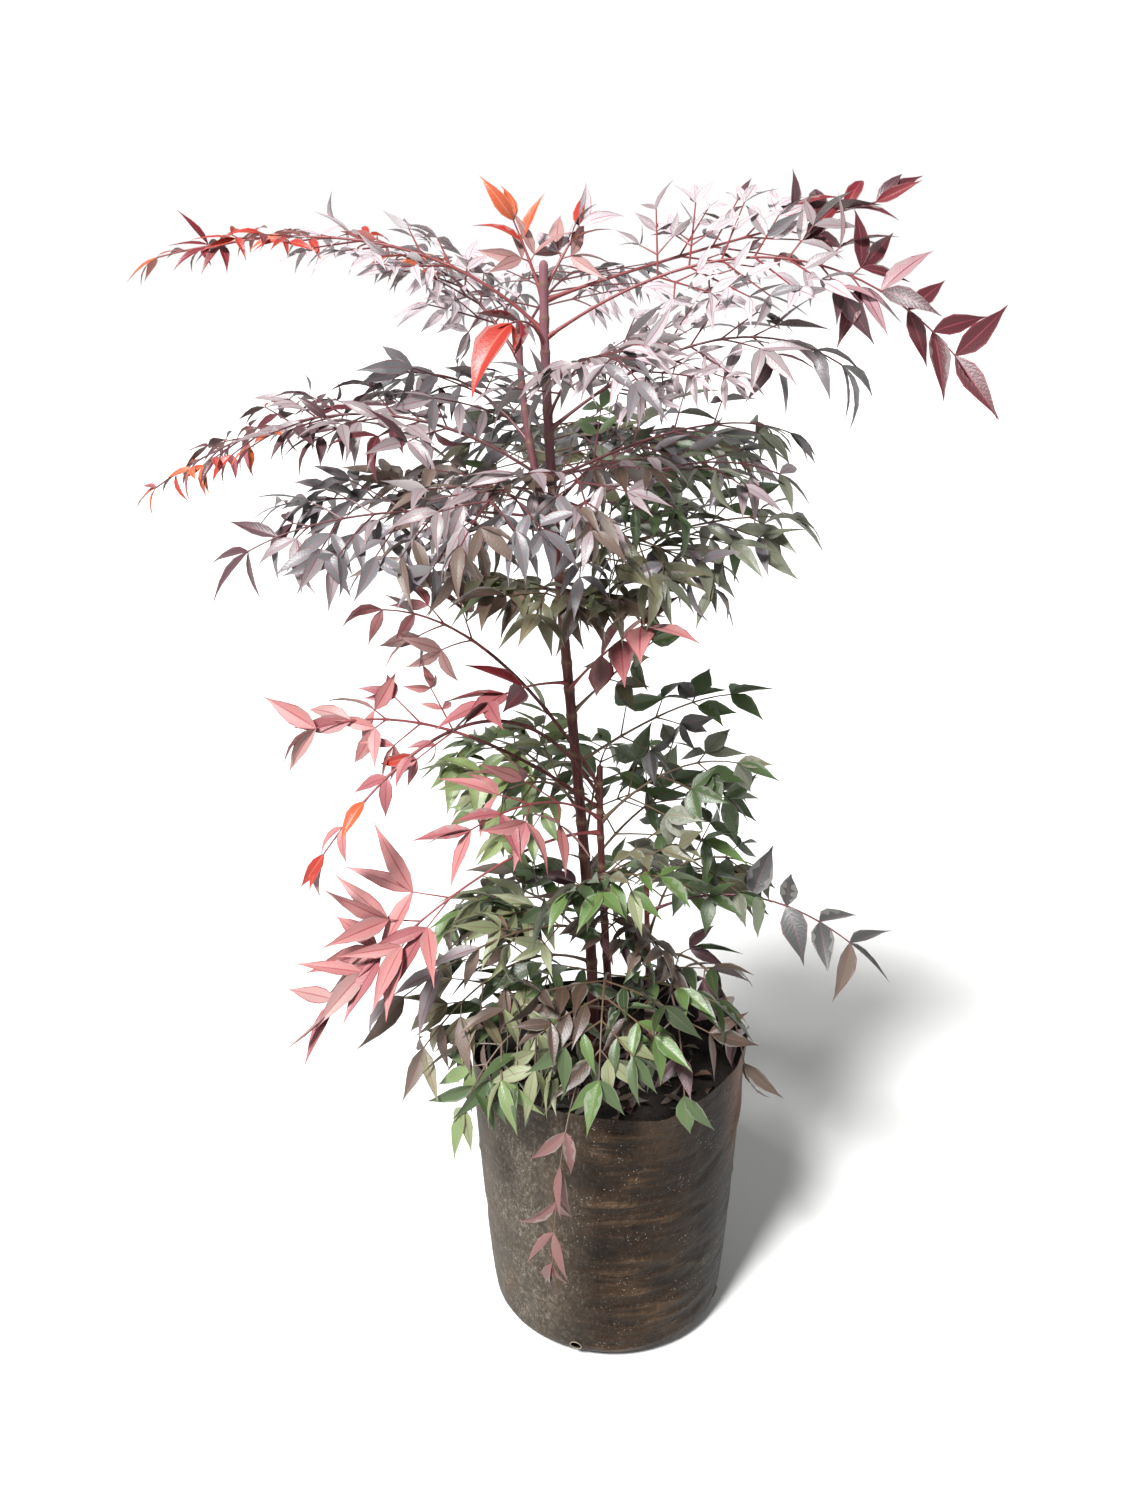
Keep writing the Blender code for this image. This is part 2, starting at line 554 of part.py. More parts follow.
def has_room(crown, frond, leaf, kept):
    """True if a leaf is clear of other limbs and of this frond's own leaves at other nodes."""
    with_room = leaf_shape(leaf, ROOM)
    if not crown.is_free(frond.name, with_room):
        return False
    tree = tree_of(with_room)
    for other in kept:
        apart = np.linalg.norm(other.root - leaf.root)
        if apart > SAME_NODE and tree.overlap(tree_of(leaf_shape(other))):
            return False
    return True


def frond_pieces(crown, frond, sprays, singles, last):
    """Every twig and leaf of a frond that finds room in the crown."""
    pieces = []
    kept = [last]
    for leaf in singles:
        if has_room(crown, frond, leaf, kept):
            kept.append(leaf)
            pieces.append(leaf_shape(leaf))
    for twig, leaves, end_leaf in sprays:
        with_room = tube(twig, 0, twig.length, TWIG_RADIUS + ROOM, TWIG_TIP_RADIUS + ROOM, 3, TWIG_STEPS)
        if not crown.is_free(frond.name, with_room) or not has_room(crown, frond, end_leaf, kept):
            continue
        kept.append(end_leaf)
        pieces.append(leafed_tube(twig, 0, twig.length, TWIG_RADIUS, TWIG_TIP_RADIUS, TWIG_STEPS, end_leaf))
        for leaf in leaves:
            if has_room(crown, frond, leaf, kept):
                kept.append(leaf)
                pieces.append(leaf_shape(leaf))
    for piece in pieces:
        crown.add(frond.name, piece)
    return pieces


# Fusing a frond into one closed body


def is_whole(mesh, foot):
    """True if every edge has two faces, all the faces hang together and the stem's foot is among them."""
    uses = {}
    for polygon in mesh.polygons:
        for edge in polygon.edge_keys:
            uses[edge] = uses.get(edge, 0) + 1
    if not uses or any(count != 2 for count in uses.values()):
        return False
    has_foot = any((vertex.co - foot).length < SEAT_STEP for vertex in mesh.vertices)
    return has_foot and len(bodies_of(mesh)) == 1


def bodies_of(mesh):
    """The sets of points that hang together, largest first."""
    home = list(range(len(mesh.vertices)))

    def root_of(point):
        while home[point] != point:
            home[point] = home[home[point]]
            point = home[point]
        return point

    for edge in mesh.edges:
        home[root_of(edge.vertices[0])] = root_of(edge.vertices[1])
    bodies = {}
    for point in range(len(home)):
        bodies.setdefault(root_of(point), set()).add(point)
    return sorted(bodies.values(), key=len, reverse=True)


def drop_scraps(mesh):
    """Leaves only the largest body of a mesh."""
    bodies = bodies_of(mesh)
    if len(bodies) < 2:
        return
    kept = sorted(bodies[0])
    order = {point: place for place, point in enumerate(kept)}
    points = [tuple(mesh.vertices[point].co) for point in kept]
    faces = [[order[point] for point in polygon.vertices] for polygon in mesh.polygons
             if polygon.vertices[0] in order]
    mesh.clear_geometry()
    mesh.from_pydata(points, [], faces)


def join_pieces(stem, pieces, solver):
    """The union of a stem with a collection of pieces, which is removed afterwards."""
    group = bpy.data.collections.new("pieces")
    bpy.context.scene.collection.children.link(group)
    made = []
    for piece in pieces:
        part = add_object("piece", piece)
        bpy.context.scene.collection.objects.unlink(part)
        group.objects.link(part)
        made.append(part)
    union = stem.modifiers.new("union", "BOOLEAN")
    union.operation = "UNION"
    union.operand_type = "COLLECTION"
    union.collection = group
    union.solver = solver
    graph = bpy.context.evaluated_depsgraph_get()
    joined = bpy.data.meshes.new_from_object(stem.evaluated_get(graph))
    stem.modifiers.remove(union)
    for part in made:
        mesh = part.data
        bpy.data.objects.remove(part, do_unlink=True)
        bpy.data.meshes.remove(mesh)
    bpy.data.collections.remove(group)
    drop_scraps(joined)
    return joined


def fuse(name, stem_shape, pieces, finish_name):
    """One closed body: EXACT first, then MANIFOLD, then both again with fewer leaves."""
    made = add_object(name, stem_shape)
    foot = Vector(stem_shape[0][0])
    left = list(pieces)
    while True:
        for solver in ("EXACT", "MANIFOLD"):
            joined = join_pieces(made, left, solver)
            if is_whole(joined, foot):
                joined.materials.clear()
                joined.materials.append(finish(finish_name))
                old = made.data
                made.data = joined
                bpy.data.meshes.remove(old)
                return made
            bpy.data.meshes.remove(joined)
        left = left[:-2]


# Putting the plant together


def shape_of(made):
    points = [tuple(vertex.co) for vertex in made.data.vertices]
    faces = [tuple(polygon.vertices) for polygon in made.data.polygons]
    return points, faces


def make_stalk(frond, rib, limb):
    """The bare stalk bough of a frond, from its cane to just short of its first leaflets."""
    start = clear_start(rib, limb, STALK_RADIUS, STALK_SIDES)
    end = rib.length * frond.stalk * STALK_SHARE
    steps = round((end - start) / RIB_RING_GAP) + 1
    stalk = tube(rib, start, end, STALK_RADIUS, STALK_TIP_RADIUS, STALK_SIDES, steps)
    return add_object("stalk_" + frond.name, stalk, "bark"), end


def make_plant():
    crown = Crown()
    for made in (make_bag(), make_soil()):
        crown.add(made.name, shape_of(made))
    limbs = []
    for cane in CANES:
        made = make_cane(cane, limbs)
        crown.add(made.name, shape_of(made))
        limbs.append(tree_of(shape_of(made)))
    grown = {}
    for place, frond in enumerate(FRONDS):
        rib = frond_rib(frond)
        rng = np.random.default_rng(FIRST_SEED + place)
        sprays, singles, last = grow(frond, rib, rng)
        if frond.name in STALKED:
            stalk, stalk_end = make_stalk(frond, rib, limbs[frond.cane])
            crown.add(stalk.name, shape_of(stalk))
            start = stalk_end + GAP
        else:
            start = clear_start(rib, limbs[frond.cane], RIB_RADIUS, 3, last.face)
        end = rib.length - leaf_length(frond, rib)
        steps = round((end - start) / RIB_RING_GAP) + 1
        stem = leafed_tube(rib, start, end, RIB_RADIUS, RIB_TIP_RADIUS, steps, last)
        grown[frond.name] = (stem, sprays, singles, last)
        crown.add(frond.name, stem)
    for frond in FRONDS:
        stem, sprays, singles, last = grown[frond.name]
        pieces = frond_pieces(crown, frond, sprays, singles, last)
        fuse("frond_" + frond.name, stem, pieces, frond.tint)


make_plant()
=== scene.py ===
"""Potted heavenly bamboo: finished bag, soil, canes, fronds and leaves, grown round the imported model.

Metres, +Z up, in the model's own frame: +X is the plant's right hand side and -Y its front. The canes and
the fronds' ribs follow the model's own rows, and every frond is carried on here to finer twigs and leaflets.
"""
import math
from collections import namedtuple

import bpy
import numpy as np
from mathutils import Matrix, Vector, noise


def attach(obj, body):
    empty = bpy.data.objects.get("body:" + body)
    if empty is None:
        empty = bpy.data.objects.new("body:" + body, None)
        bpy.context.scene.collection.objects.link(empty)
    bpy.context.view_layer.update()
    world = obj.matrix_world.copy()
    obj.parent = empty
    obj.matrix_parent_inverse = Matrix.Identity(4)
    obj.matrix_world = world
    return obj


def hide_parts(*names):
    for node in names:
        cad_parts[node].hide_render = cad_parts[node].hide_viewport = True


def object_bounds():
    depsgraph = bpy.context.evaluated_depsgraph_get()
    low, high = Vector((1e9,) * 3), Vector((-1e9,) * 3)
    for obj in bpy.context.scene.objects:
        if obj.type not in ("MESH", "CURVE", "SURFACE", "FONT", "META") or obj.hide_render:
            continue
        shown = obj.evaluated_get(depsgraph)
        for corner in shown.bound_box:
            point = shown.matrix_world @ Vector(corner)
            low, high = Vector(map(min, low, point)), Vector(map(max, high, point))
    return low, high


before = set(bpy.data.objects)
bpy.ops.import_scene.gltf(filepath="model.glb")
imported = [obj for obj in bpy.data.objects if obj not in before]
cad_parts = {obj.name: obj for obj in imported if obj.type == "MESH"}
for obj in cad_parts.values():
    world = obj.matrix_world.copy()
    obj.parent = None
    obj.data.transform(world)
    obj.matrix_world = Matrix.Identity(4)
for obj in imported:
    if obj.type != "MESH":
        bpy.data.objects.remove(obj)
CAD_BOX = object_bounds()

UP = np.array((0.0, 0.0, 1.0))
FRONT = np.array((0.0, -1.0, 0.0))
BODY = "root"

# The bag: a round film wall with a soft lower corner, a little narrower from front to back
BAG_HEIGHT = 0.312
BAG_RIM_RADIUS = 0.140
BAG_FOOT_RADIUS = 0.121
BAG_FLAT_RADIUS = 0.094
BAG_CORNER_HEIGHT = 0.026
BAG_BELLY = 0.75
BAG_DEPTH_SHARE = 0.92
BAG_LEAN = 0.0045
BAG_FILM = 0.0009
BAG_SEGMENTS = 300
BAG_ROWS = 76
BAG_CORNER_ROWS = 8
BAG_FLAT_RINGS = (0.25, 0.5, 0.7, 0.85, 0.95)
BAG_DENTS = ((3, 0.6, 0.008), (5, 2.0, 0.005))
SOIL_TOP = 0.272

# The film's free edge: waves of so many to the turn, where they start and how far they go, and how far
# down from the edge they die out
EDGE_LIFTS = ((2, 0.9, 0.0050), (3, 2.6, 0.0016), (7, 0.4, 0.0010), (13, 1.7, 0.0006))
EDGE_SWAYS = ((5, 1.2, 0.0022), (9, 0.3, 0.0014), (16, 2.2, 0.0007))
EDGE_FADE = 0.022

# Creases of the film: headings are degrees round from the right hand side, so 270 is the front
Fold = namedtuple("Fold", "heading height long wide depth slope")
FOLDS = (
    Fold(239, 0.150, 0.300, 0.0045, -0.0042, 1.55),
    Fold(245, 0.150, 0.280, 0.0055, 0.0022, 1.57),
    Fold(222, 0.040, 0.090, 0.0080, -0.0060, 0.75),
    Fold(214, 0.060, 0.080, 0.0060, 0.0035, 1.10),
    Fold(342, 0.250, 0.110, 0.0060, 0.0035, 1.25),
    Fold(350, 0.245, 0.120, 0.0050, -0.0030, 1.30),
    Fold(312, 0.040, 0.120, 0.0070, -0.0025, 0.20),
    Fold(60, 0.120, 0.200, 0.0045, -0.0026, 1.45),
    Fold(130, 0.160, 0.180, 0.0050, 0.0024, 1.60),
    Fold(180, 0.100, 0.120, 0.0060, -0.0024, 0.90),
)
FOLD_WAVE = 0.15
FOLD_WAVES = 180
CREASE_SEED = 7
# How far out a crease must push for its paler mark, partly wear and partly a painted highlight, to be full
CREASE_MARK_PUSH = 0.0012

# Small creases by chance: how many, then the least and most of each measure, and how far their slope strays
Creases = namedtuple("Creases", "count heading height long wide depth slope")
SMALL_CREASES = (
    Creases(46, (262, 318), (0.05, 0.21), (0.03, 0.085), (0.0018, 0.0032), (0.0005, 0.0013), 0.16),
    Creases(90, (0, 360), (0.03, 0.28), (0.03, 0.10), (0.002, 0.005), (0.0005, 0.0014), 0.45),
)

# The canes stand in the soil and flare a little at the foot
FLARE_SHARE = 0.45
FLARE_HEIGHT = 0.014
SHOOT_HEIGHT = 0.790
CANE_SIDES = 14
CANE_STEP = 0.0055
CANE_SUNK = 0.008
CANE_SEED = 40
CANE_NODE_GAP = 0.043
CANE_NODE_FIRST = (0.5, 1.0)
CANE_NODE_STRAY = (0.7, 1.25)
CANE_NODE_LOW = 1.1
CANE_NODE_CLOSING = 0.5
CANE_NODE_SWELL = 0.16
CANE_NODE_BELOW = 0.0045
CANE_NODE_ABOVE = 0.0010
CANE_BARE_TIP = 0.012
# The rings at a leaf scar, how far its worn bark reaches, and a tip's rings as shares of its radius
SCAR_RINGS = (-0.0012, 0.0, 0.0008)
SCAR_REACH = 0.0018
CANE_CAP = ((0.45, 0.86), (0.85, 0.5), (1.0, 0.12))

Cane = namedtuple("Cane", "name foot top foot_radius tip_radius")
CANES = (
    Cane("cane_main", (-0.012, 0.0), (-0.060, 0.0, 1.048), 0.0059, 0.0038),
    Cane("cane_front", (0.004, -0.024), (-0.010, -0.022, 0.615), 0.0046, 0.0030),
    Cane("cane_right", (0.046, 0.012), (0.038, 0.010, 0.505), 0.0036, 0.0024),
    Cane("shoot_back", None, (-0.083, 0.060, 1.000), 0.0042, 0.0028),
)
MAIN, NEAR, RIGHT, SHOOT = range(4)

# Ribs, twigs and the carried-on branching
RIB_POINTS = 41
RIB_LOOKS = 50
RIB_RADIUS = 0.0015
RIB_TIP_RADIUS = 0.0006
RIB_SIDES = 6
RIB_STEP = 0.012
RIB_FOOT = 0.004
RIB_FOOT_SWELL = 1.1
RIB_FOOT_LENGTH = 0.007
TWIG_RADIUS = 0.0009
TWIG_TIP_RADIUS = 0.0005
TWIG_SIDES = 5
TWIG_STEP = 0.02
TWIG_POINTS = 6
TWIG_SAG = 0.25
TWIG_LAST_LEAF = 1.08
STALK_RADIUS = 0.0018
STALK_TIP_RADIUS = 0.0015
STALK_SIDES = 10
STALK_SHARE = 0.9
STALK_STEP = 0.006
STALK_NODE = 0.55
STALK_LAP = 0.002
NODE_SWELL = 0.35
NODE_REACH = 0.0022
# How far apart leaflet pairs stand, and how many times that by colour and, before it, by frond
NODE_GAP = 0.025
NODE_GAPS = {
    "green": 1.2, "rose": 1.15, "wine": 1.25, "mauve": 1.15, "slate": 1.2, "olive": 1.2,
    "skirt_left": 1.0, "skirt_left_low": 0.85, "skirt_left_high": 1.7, "skirt_front": 1.05,
    "skirt_front_right": 1.5, "skirt_right": 1.3, "skirt_right_high": 1.5, "skirt_middle": 0.9,
    "pink_front_right": 1.6, "pink_front": 1.4, "top_right_lower": 1.1, "mid_right_high": 1.0,
    "mid_low_front": 0.72, "mid_front_high": 0.95, "mid_left_low": 1.06, "mid_left_back": 1.5,
    "mid_left_long": 0.9, "top_back": 1.4, "top_left_back": 0.8, "top_spire_left": 0.8,
    "top_spire_right": 0.8, "green_right_high": 1.35, "green_right": 1.35, "mid_right_back": 1.55,
    "mid_right": 1.3, "mid_right_low": 1.3, "skirt_back_left": 0.8, "skirt_back_right": 1.15,
    "pink_low_left": 1.3, "green_back_right": 1.8, "green_back": 1.3, "green_front": 0.9, "green_left": 1.0,
    "open_right": 1.2,
}
TWIG_NODE_SHARE = 0.85
SPRAY_SHARE = 1.15
SIDE_SPRAY_SHARE = 1.55
SIDE_SPRAY_ROOM = 1.3
FULLNESS = 0.8
# Degrees between a rib and its pinnae: as a rule, by frond, more to one hand, and less towards the tip
PINNA_TURN = 58
PINNA_TURNS = {
    "top_right_upper": 46, "top_right_lower": 62, "pink_left_high": 44, "pink_left": 46, "pink_left_low": 32,
    "pink_low_left": 33, "red_front_left": 44, "pink_front": 44, "skirt_left_high": 40, "skirt_hanging": 24,
    "skirt_right_long": 70,
}
PINNA_SKEWS = {"top_right_lower": 14, "pink_low_left": -18}
PINNA_CLOSING = 14
PINNA_STRAY = 7
PINNA_RISE = (-0.12, 0.2)
LEAF_TURN = (42, 58)
LEAF_TURNS = {"pink_low_left": (24, 38), "skirt_left_high": (26, 40), "skirt_left": (28, 42)}
LEAF_LENGTHS = (0.85, 1.1)
LEAF_STRAY = 0.26
LEAF_ROLL = 0.5
LEAF_FALL = 0.6
SPRAY_DROOP = (0.4, 1.4)
PINNA_TIP_DROOP = 0.7
FROND_TIP_DROOP = 0.3
LAST_START = 0.8
# How many times the usual a frond's last leaflet has, as a rule and by frond
LAST_LEAF = 1.1
LAST_LEAVES = {"top_front": 1.75}
FIRST_SEED = 100

# One leaflet: places along it with their share of its widest half, and the lines across it, where the outer
# strips are its margin and the middle one its rib
LEAF_PLACES = ((0.0, 0.06), (0.08, 0.42), (0.22, 0.90), (0.40, 1.0), (0.63, 0.62), (0.84, 0.18))
LEAF_LINES = (-1.0, -0.86, -0.08, 0.08, 0.86, 1.0)
LEAF_CUP = 1.3
LEAF_SHARE = 0.78
# By colour and frond: how many times the usual length a leaflet has
LEAF_SIZES = {
    "slate": 1.1, "mauve": 1.05, "olive": 1.1, "green": 1.2, "skirt_left_high": 1.25, "skirt_left": 1.25,
    "skirt_left_low": 1.35, "skirt_front": 1.2, "skirt_front_right": 1.2, "skirt_hanging": 1.2,
    "pink_low_left": 1.15, "mid_left_low": 1.15, "red_front_left": 1.25, "skirt_back_left": 1.2,
    "skirt_back_right": 1.2, "pink_front_right": 1.25, "pink_front": 1.15, "mid_right_high": 1.12,
    "mid_low_front": 1.25, "skirt_right": 1.2, "top_back": 0.85, "top_spire_left": 1.2,
    "top_spire_right": 1.2, "open_right": 1.2,
}
# How much of its full length a leaflet has, from a frond's foot to its tip
LEAF_GROWTHS = {
    "top_right_upper": (0.4, 0.6, 1.0, 1.3, 0.9), "top_right_lower": (0.5, 0.6, 0.85, 1.05, 1.1),
    "mid_right_high": (0.55, 0.7, 1.0, 1.25, 1.25), "pink_left": (0.6, 0.8, 1.0, 1.2, 1.2),
    "mid_left_long": (1.35, 1.25, 1.0, 0.95, 0.9), "skirt_left": (1.0, 1.05, 1.05),
    "skirt_left_high": (0.8, 1.0, 1.2, 1.35),
}
# The least and most of a leaflet's half width, fold and bend, as a rule and by colour and frond
LEAF_HALF_WIDTH = (0.105, 0.14)
LEAF_HALF_WIDTHS = {
    "pink_low_left": (0.105, 0.145), "green": (0.15, 0.20), "bronze": (0.13, 0.18), "rose": (0.13, 0.17),
    "wine": (0.12, 0.155), "olive": (0.12, 0.16), "skirt_front": (0.13, 0.18),
    "skirt_front_right": (0.13, 0.18), "skirt_hanging": (0.10, 0.14), "top_front": (0.15, 0.18),
    "skirt_left": (0.11, 0.15), "skirt_left_low": (0.11, 0.15), "skirt_left_high": (0.11, 0.15),
    "open_right": (0.19, 0.24), "green_right_high": (0.19, 0.25), "green_right": (0.19, 0.25),
    "skirt_right_high": (0.18, 0.24), "skirt_right_long": (0.17, 0.22), "pink_front_right": (0.17, 0.22),
    "red_front_left": (0.15, 0.19),
}
LEAF_FOLD = (0.12, 0.42)
LEAF_BEND = (0.25, 1.25)
LEAF_BENDS = {
    "skirt_right_long": (0.1, 0.5), "top_right_lower": (0.15, 0.7), "pink_low_left": (0.15, 0.6),
    "green": (0.15, 0.8), "skirt_right_high": (0.15, 0.7), "red_front_left": (0.15, 0.6),
    "pink_front_right": (0.1, 0.5), "pink_front": (0.15, 0.7),
}
LEAF_SWAY = 0.05
LEAF_TWIST = 0.22
LEAF_THICKNESS = 0.009
VEIN_SLANT = 0.45
VEIN_WAVES = 70.0
VEIN_DEPTH = 0.07
BLADE, MARGIN, UNDERSIDE = range(3)

# One row is one frond: the cane that carries it, its height there, its heading in degrees round from the
# right hand side, the reach and lift of its tip, the bow of its rib and how far out the bow's top is, how
# far its upper face leans to the front, the bare share of its rib, its longest pinna, its leaflet, the
# fall of its leaflets, and its colour.
Frond = namedtuple("Frond", "name cane height heading reach lift arch lead lean stalk spread leaf droop tint")
FRONDS = tuple(Frond(*row) for row in (
    ("top_left", MAIN, 0.995, 175, 0.358, 0.052, 0.05, 0.33, 0.2, 0.25, 0.09, 0.04, 0.05, "scarlet"),
    ("top_left_back", SHOOT, 0.97, 150, 0.17, 0.075, 0.04, 0.5, 0.1, 0.2, 0.1, 0.042, 0.2, "mauve"),
    ("top_spire_left", MAIN, 1.02, 150, 0.05, 0.1, 0.005, 0.5, 0.6, 0.3, 0.05, 0.046, -0.15, "scarlet"),
    ("top_spire_right", MAIN, 1.028, 35, 0.06, 0.085, 0.0, 0.5, 0.6, 0.3, 0.05, 0.045, -0.3, "scarlet"),
    ("top_right_upper", MAIN, 1.02, 9, 0.33, 0.09, 0.004, 0.25, 0.6, 0.35, 0.09, 0.062, -0.8, "wine"),
    ("top_right_lower", MAIN, 0.99, 350, 0.368, -0.053, 0.09, 0.6, 1.0, 0.25, 0.09, 0.07, -0.3, "wine"),
    ("top_front", MAIN, 0.985, 238, 0.108, -0.012, 0.024, 0.3, 0.8, 0.5, 0.03, 0.048, 0.4, "scarlet"),
    ("top_back", SHOOT, 0.985, 70, 0.27, 0.05, 0.035, 0.5, 0.0, 0.2, 0.13, 0.048, 0.35, "mauve"),
    ("mid_front_high", MAIN, 0.925, 292, 0.21, 0.02, 0.045, 0.5, 0.4, 0.15, 0.1, 0.048, 0.35, "mauve"),
    ("mid_right_high", MAIN, 0.915, 350, 0.275, 0.03, 0.06, 0.6, 0.5, 0.2, 0.11, 0.048, 0.2, "mauve"),
    ("mid_left_long", MAIN, 0.869, 177, 0.378, -0.023, 0.07, 0.45, 0.3, 0.25, 0.1, 0.04, 0.15, "mauve"),
    ("mid_right_back", MAIN, 0.873, 21, 0.27, 0.012, 0.036, 0.7, 0.3, 0.15, 0.12, 0.048, 0.3, "slate"),
    ("mid_front", MAIN, 0.85, 280, 0.2, -0.02, 0.05, 0.5, 0.3, 0.15, 0.12, 0.05, 0.45, "mauve"),
    ("mid_right", MAIN, 0.838, 354, 0.23, 0.022, 0.04, 0.6, 0.3, 0.15, 0.13, 0.05, 0.25, "slate"),
    ("mid_front_left", MAIN, 0.835, 250, 0.23, -0.01, 0.05, 0.5, 0.3, 0.15, 0.13, 0.05, 0.5, "mauve"),
    ("mid_left_low", MAIN, 0.84, 195, 0.302, -0.046, 0.036, 0.75, 0.6, 0.15, 0.13, 0.055, 0.35, "slate"),
    ("mid_left_back", MAIN, 0.826, 180, 0.275, 0.015, 0.022, 0.7, 0.3, 0.15, 0.11, 0.048, 0.25, "slate"),
    ("mid_front_right", MAIN, 0.815, 325, 0.19, -0.045, 0.036, 0.5, 0.3, 0.15, 0.12, 0.05, 0.35, "olive"),
    ("mid_right_low", MAIN, 0.79, 4, 0.25, 0.04, 0.024, 0.6, 0.3, 0.15, 0.14, 0.054, 0.15, "olive"),
    ("mid_low_front", MAIN, 0.765, 260, 0.15, -0.01, 0.03, 0.5, 0.5, 0.15, 0.12, 0.048, 0.45, "olive"),
    ("mid_back_left", SHOOT, 0.9, 145, 0.19, 0.03, 0.04, 0.5, 0.0, 0.15, 0.13, 0.055, 0.4, "slate"),
    ("mid_back", SHOOT, 0.85, 85, 0.27, 0.02, 0.045, 0.5, 0.0, 0.15, 0.14, 0.055, 0.5, "olive"),
    ("mid_back_right", MAIN, 0.85, 50, 0.3, 0.02, 0.045, 0.5, 0.0, 0.15, 0.14, 0.055, 0.5, "slate"),
    ("pink_left_high", NEAR, 0.596, 184, 0.23, 0.165, 0.06, 0.5, 1.0, 0.6, 0.07, 0.05, 0.5, "rose"),
    ("pink_left", NEAR, 0.574, 196, 0.294, 0.088, 0.05, 0.6, 0.9, 0.5, 0.07, 0.054, 0.1, "rose"),
    ("pink_left_low", NEAR, 0.586, 207, 0.288, -0.034, 0.106, 0.4, 0.8, 0.6, 0.04, 0.05, 0.1, "rose"),
    ("red_front_left", MAIN, 0.69, 235, 0.175, -0.005, 0.016, 0.6, 0.7, 0.4, 0.06, 0.06, 0.2, "wine"),
    ("pink_front_right", MAIN, 0.684, 300, 0.17, 0.11, 0.01, 0.5, 0.6, 0.35, 0.05, 0.06, 0.2, "rose"),
    ("open_right", MAIN, 0.66, 0, 0.1, 0.09, 0.004, 0.3, 0.3, 0.35, 0.05, 0.036, 0.2, "green"),
    ("green_right_high", MAIN, 0.61, 7, 0.182, 0.055, 0.024, 0.7, 0.6, 0.25, 0.07, 0.04, 0.25, "green"),
    ("green_right", NEAR, 0.56, 356, 0.16, 0.05, 0.035, 0.5, 0.6, 0.2, 0.08, 0.04, 0.35, "green"),
    ("pink_front", NEAR, 0.564, 228, 0.215, 0.03, 0.03, 0.4, 0.6, 0.3, 0.09, 0.056, 0.3, "rose"),
    ("pink_low_left", NEAR, 0.55, 210, 0.32, -0.14, 0.04, 0.35, 0.9, 0.45, 0.1, 0.074, -0.05, "rose"),
    ("green_left", MAIN, 0.58, 195, 0.12, -0.03, 0.03, 0.5, 0.6, 0.15, 0.11, 0.042, 0.4, "green"),
    ("green_front", NEAR, 0.5, 285, 0.12, 0.01, 0.03, 0.5, 0.6, 0.15, 0.12, 0.042, 0.45, "green"),
    ("green_back_left", MAIN, 0.56, 140, 0.18, 0.02, 0.04, 0.5, 0.0, 0.2, 0.13, 0.05, 0.45, "green"),
    ("green_back", MAIN, 0.52, 80, 0.22, 0.03, 0.04, 0.5, 0.0, 0.2, 0.14, 0.05, 0.45, "green"),
    ("green_back_right", MAIN, 0.5, 40, 0.22, 0.03, 0.04, 0.5, 0.0, 0.2, 0.14, 0.05, 0.45, "green"),
    ("skirt_right_high", RIGHT, 0.48, 10, 0.14, -0.01, 0.03, 0.5, 0.4, 0.1, 0.1, 0.046, 0.3, "bronze"),
    ("skirt_right_long", RIGHT, 0.45, 346, 0.24, -0.045, 0.05, 0.5, 0.6, 0.4, 0.04, 0.066, 0.0, "slate"),
    ("skirt_left_high", NEAR, 0.44, 203, 0.245, -0.046, 0.042, 0.35, 0.6, 0.2, 0.07, 0.052, 0.1, "bronze"),
    ("skirt_left", MAIN, 0.4, 214, 0.22, -0.065, 0.055, 0.5, 0.6, 0.2, 0.1, 0.048, 0.3, "bronze"),
    ("skirt_left_low", NEAR, 0.36, 219, 0.195, -0.08, 0.07, 0.7, 0.6, 0.2, 0.11, 0.046, 0.45, "bronze"),
    ("skirt_front", NEAR, 0.4, 265, 0.15, -0.07, 0.06, 0.7, 0.5, 0.15, 0.12, 0.046, 0.4, "green"),
    ("skirt_hanging", NEAR, 0.345, 252, 0.185, -0.19, 0.12, 0.95, 1.0, 0.48, 0.03, 0.052, 0.1, "rose"),
    ("skirt_front_right", RIGHT, 0.39, 280, 0.155, -0.1, 0.08, 0.8, 0.6, 0.2, 0.1, 0.05, 0.35, "green"),
    ("skirt_middle", RIGHT, 0.43, 240, 0.13, 0.02, 0.03, 0.5, 0.6, 0.15, 0.11, 0.048, 0.2, "bronze"),
    ("skirt_right", RIGHT, 0.4, 314, 0.135, -0.11, 0.08, 0.8, 0.6, 0.2, 0.06, 0.05, 0.6, "bronze"),
    ("skirt_back_left", MAIN, 0.42, 150, 0.19, -0.06, 0.07, 0.6, 0.0, 0.2, 0.12, 0.055, 0.55, "bronze"),
    ("skirt_back_right", RIGHT, 0.42, 65, 0.19, -0.06, 0.07, 0.6, 0.0, 0.2, 0.12, 0.055, 0.55, "green"),
))
# The fronds that stand on a bare stalk, which is a piece of its own
STALKED = ("pink_left_high", "pink_left", "pink_left_low")
# How many times the usual thickness a rib has
THINNER = {"skirt_hanging": 0.6}

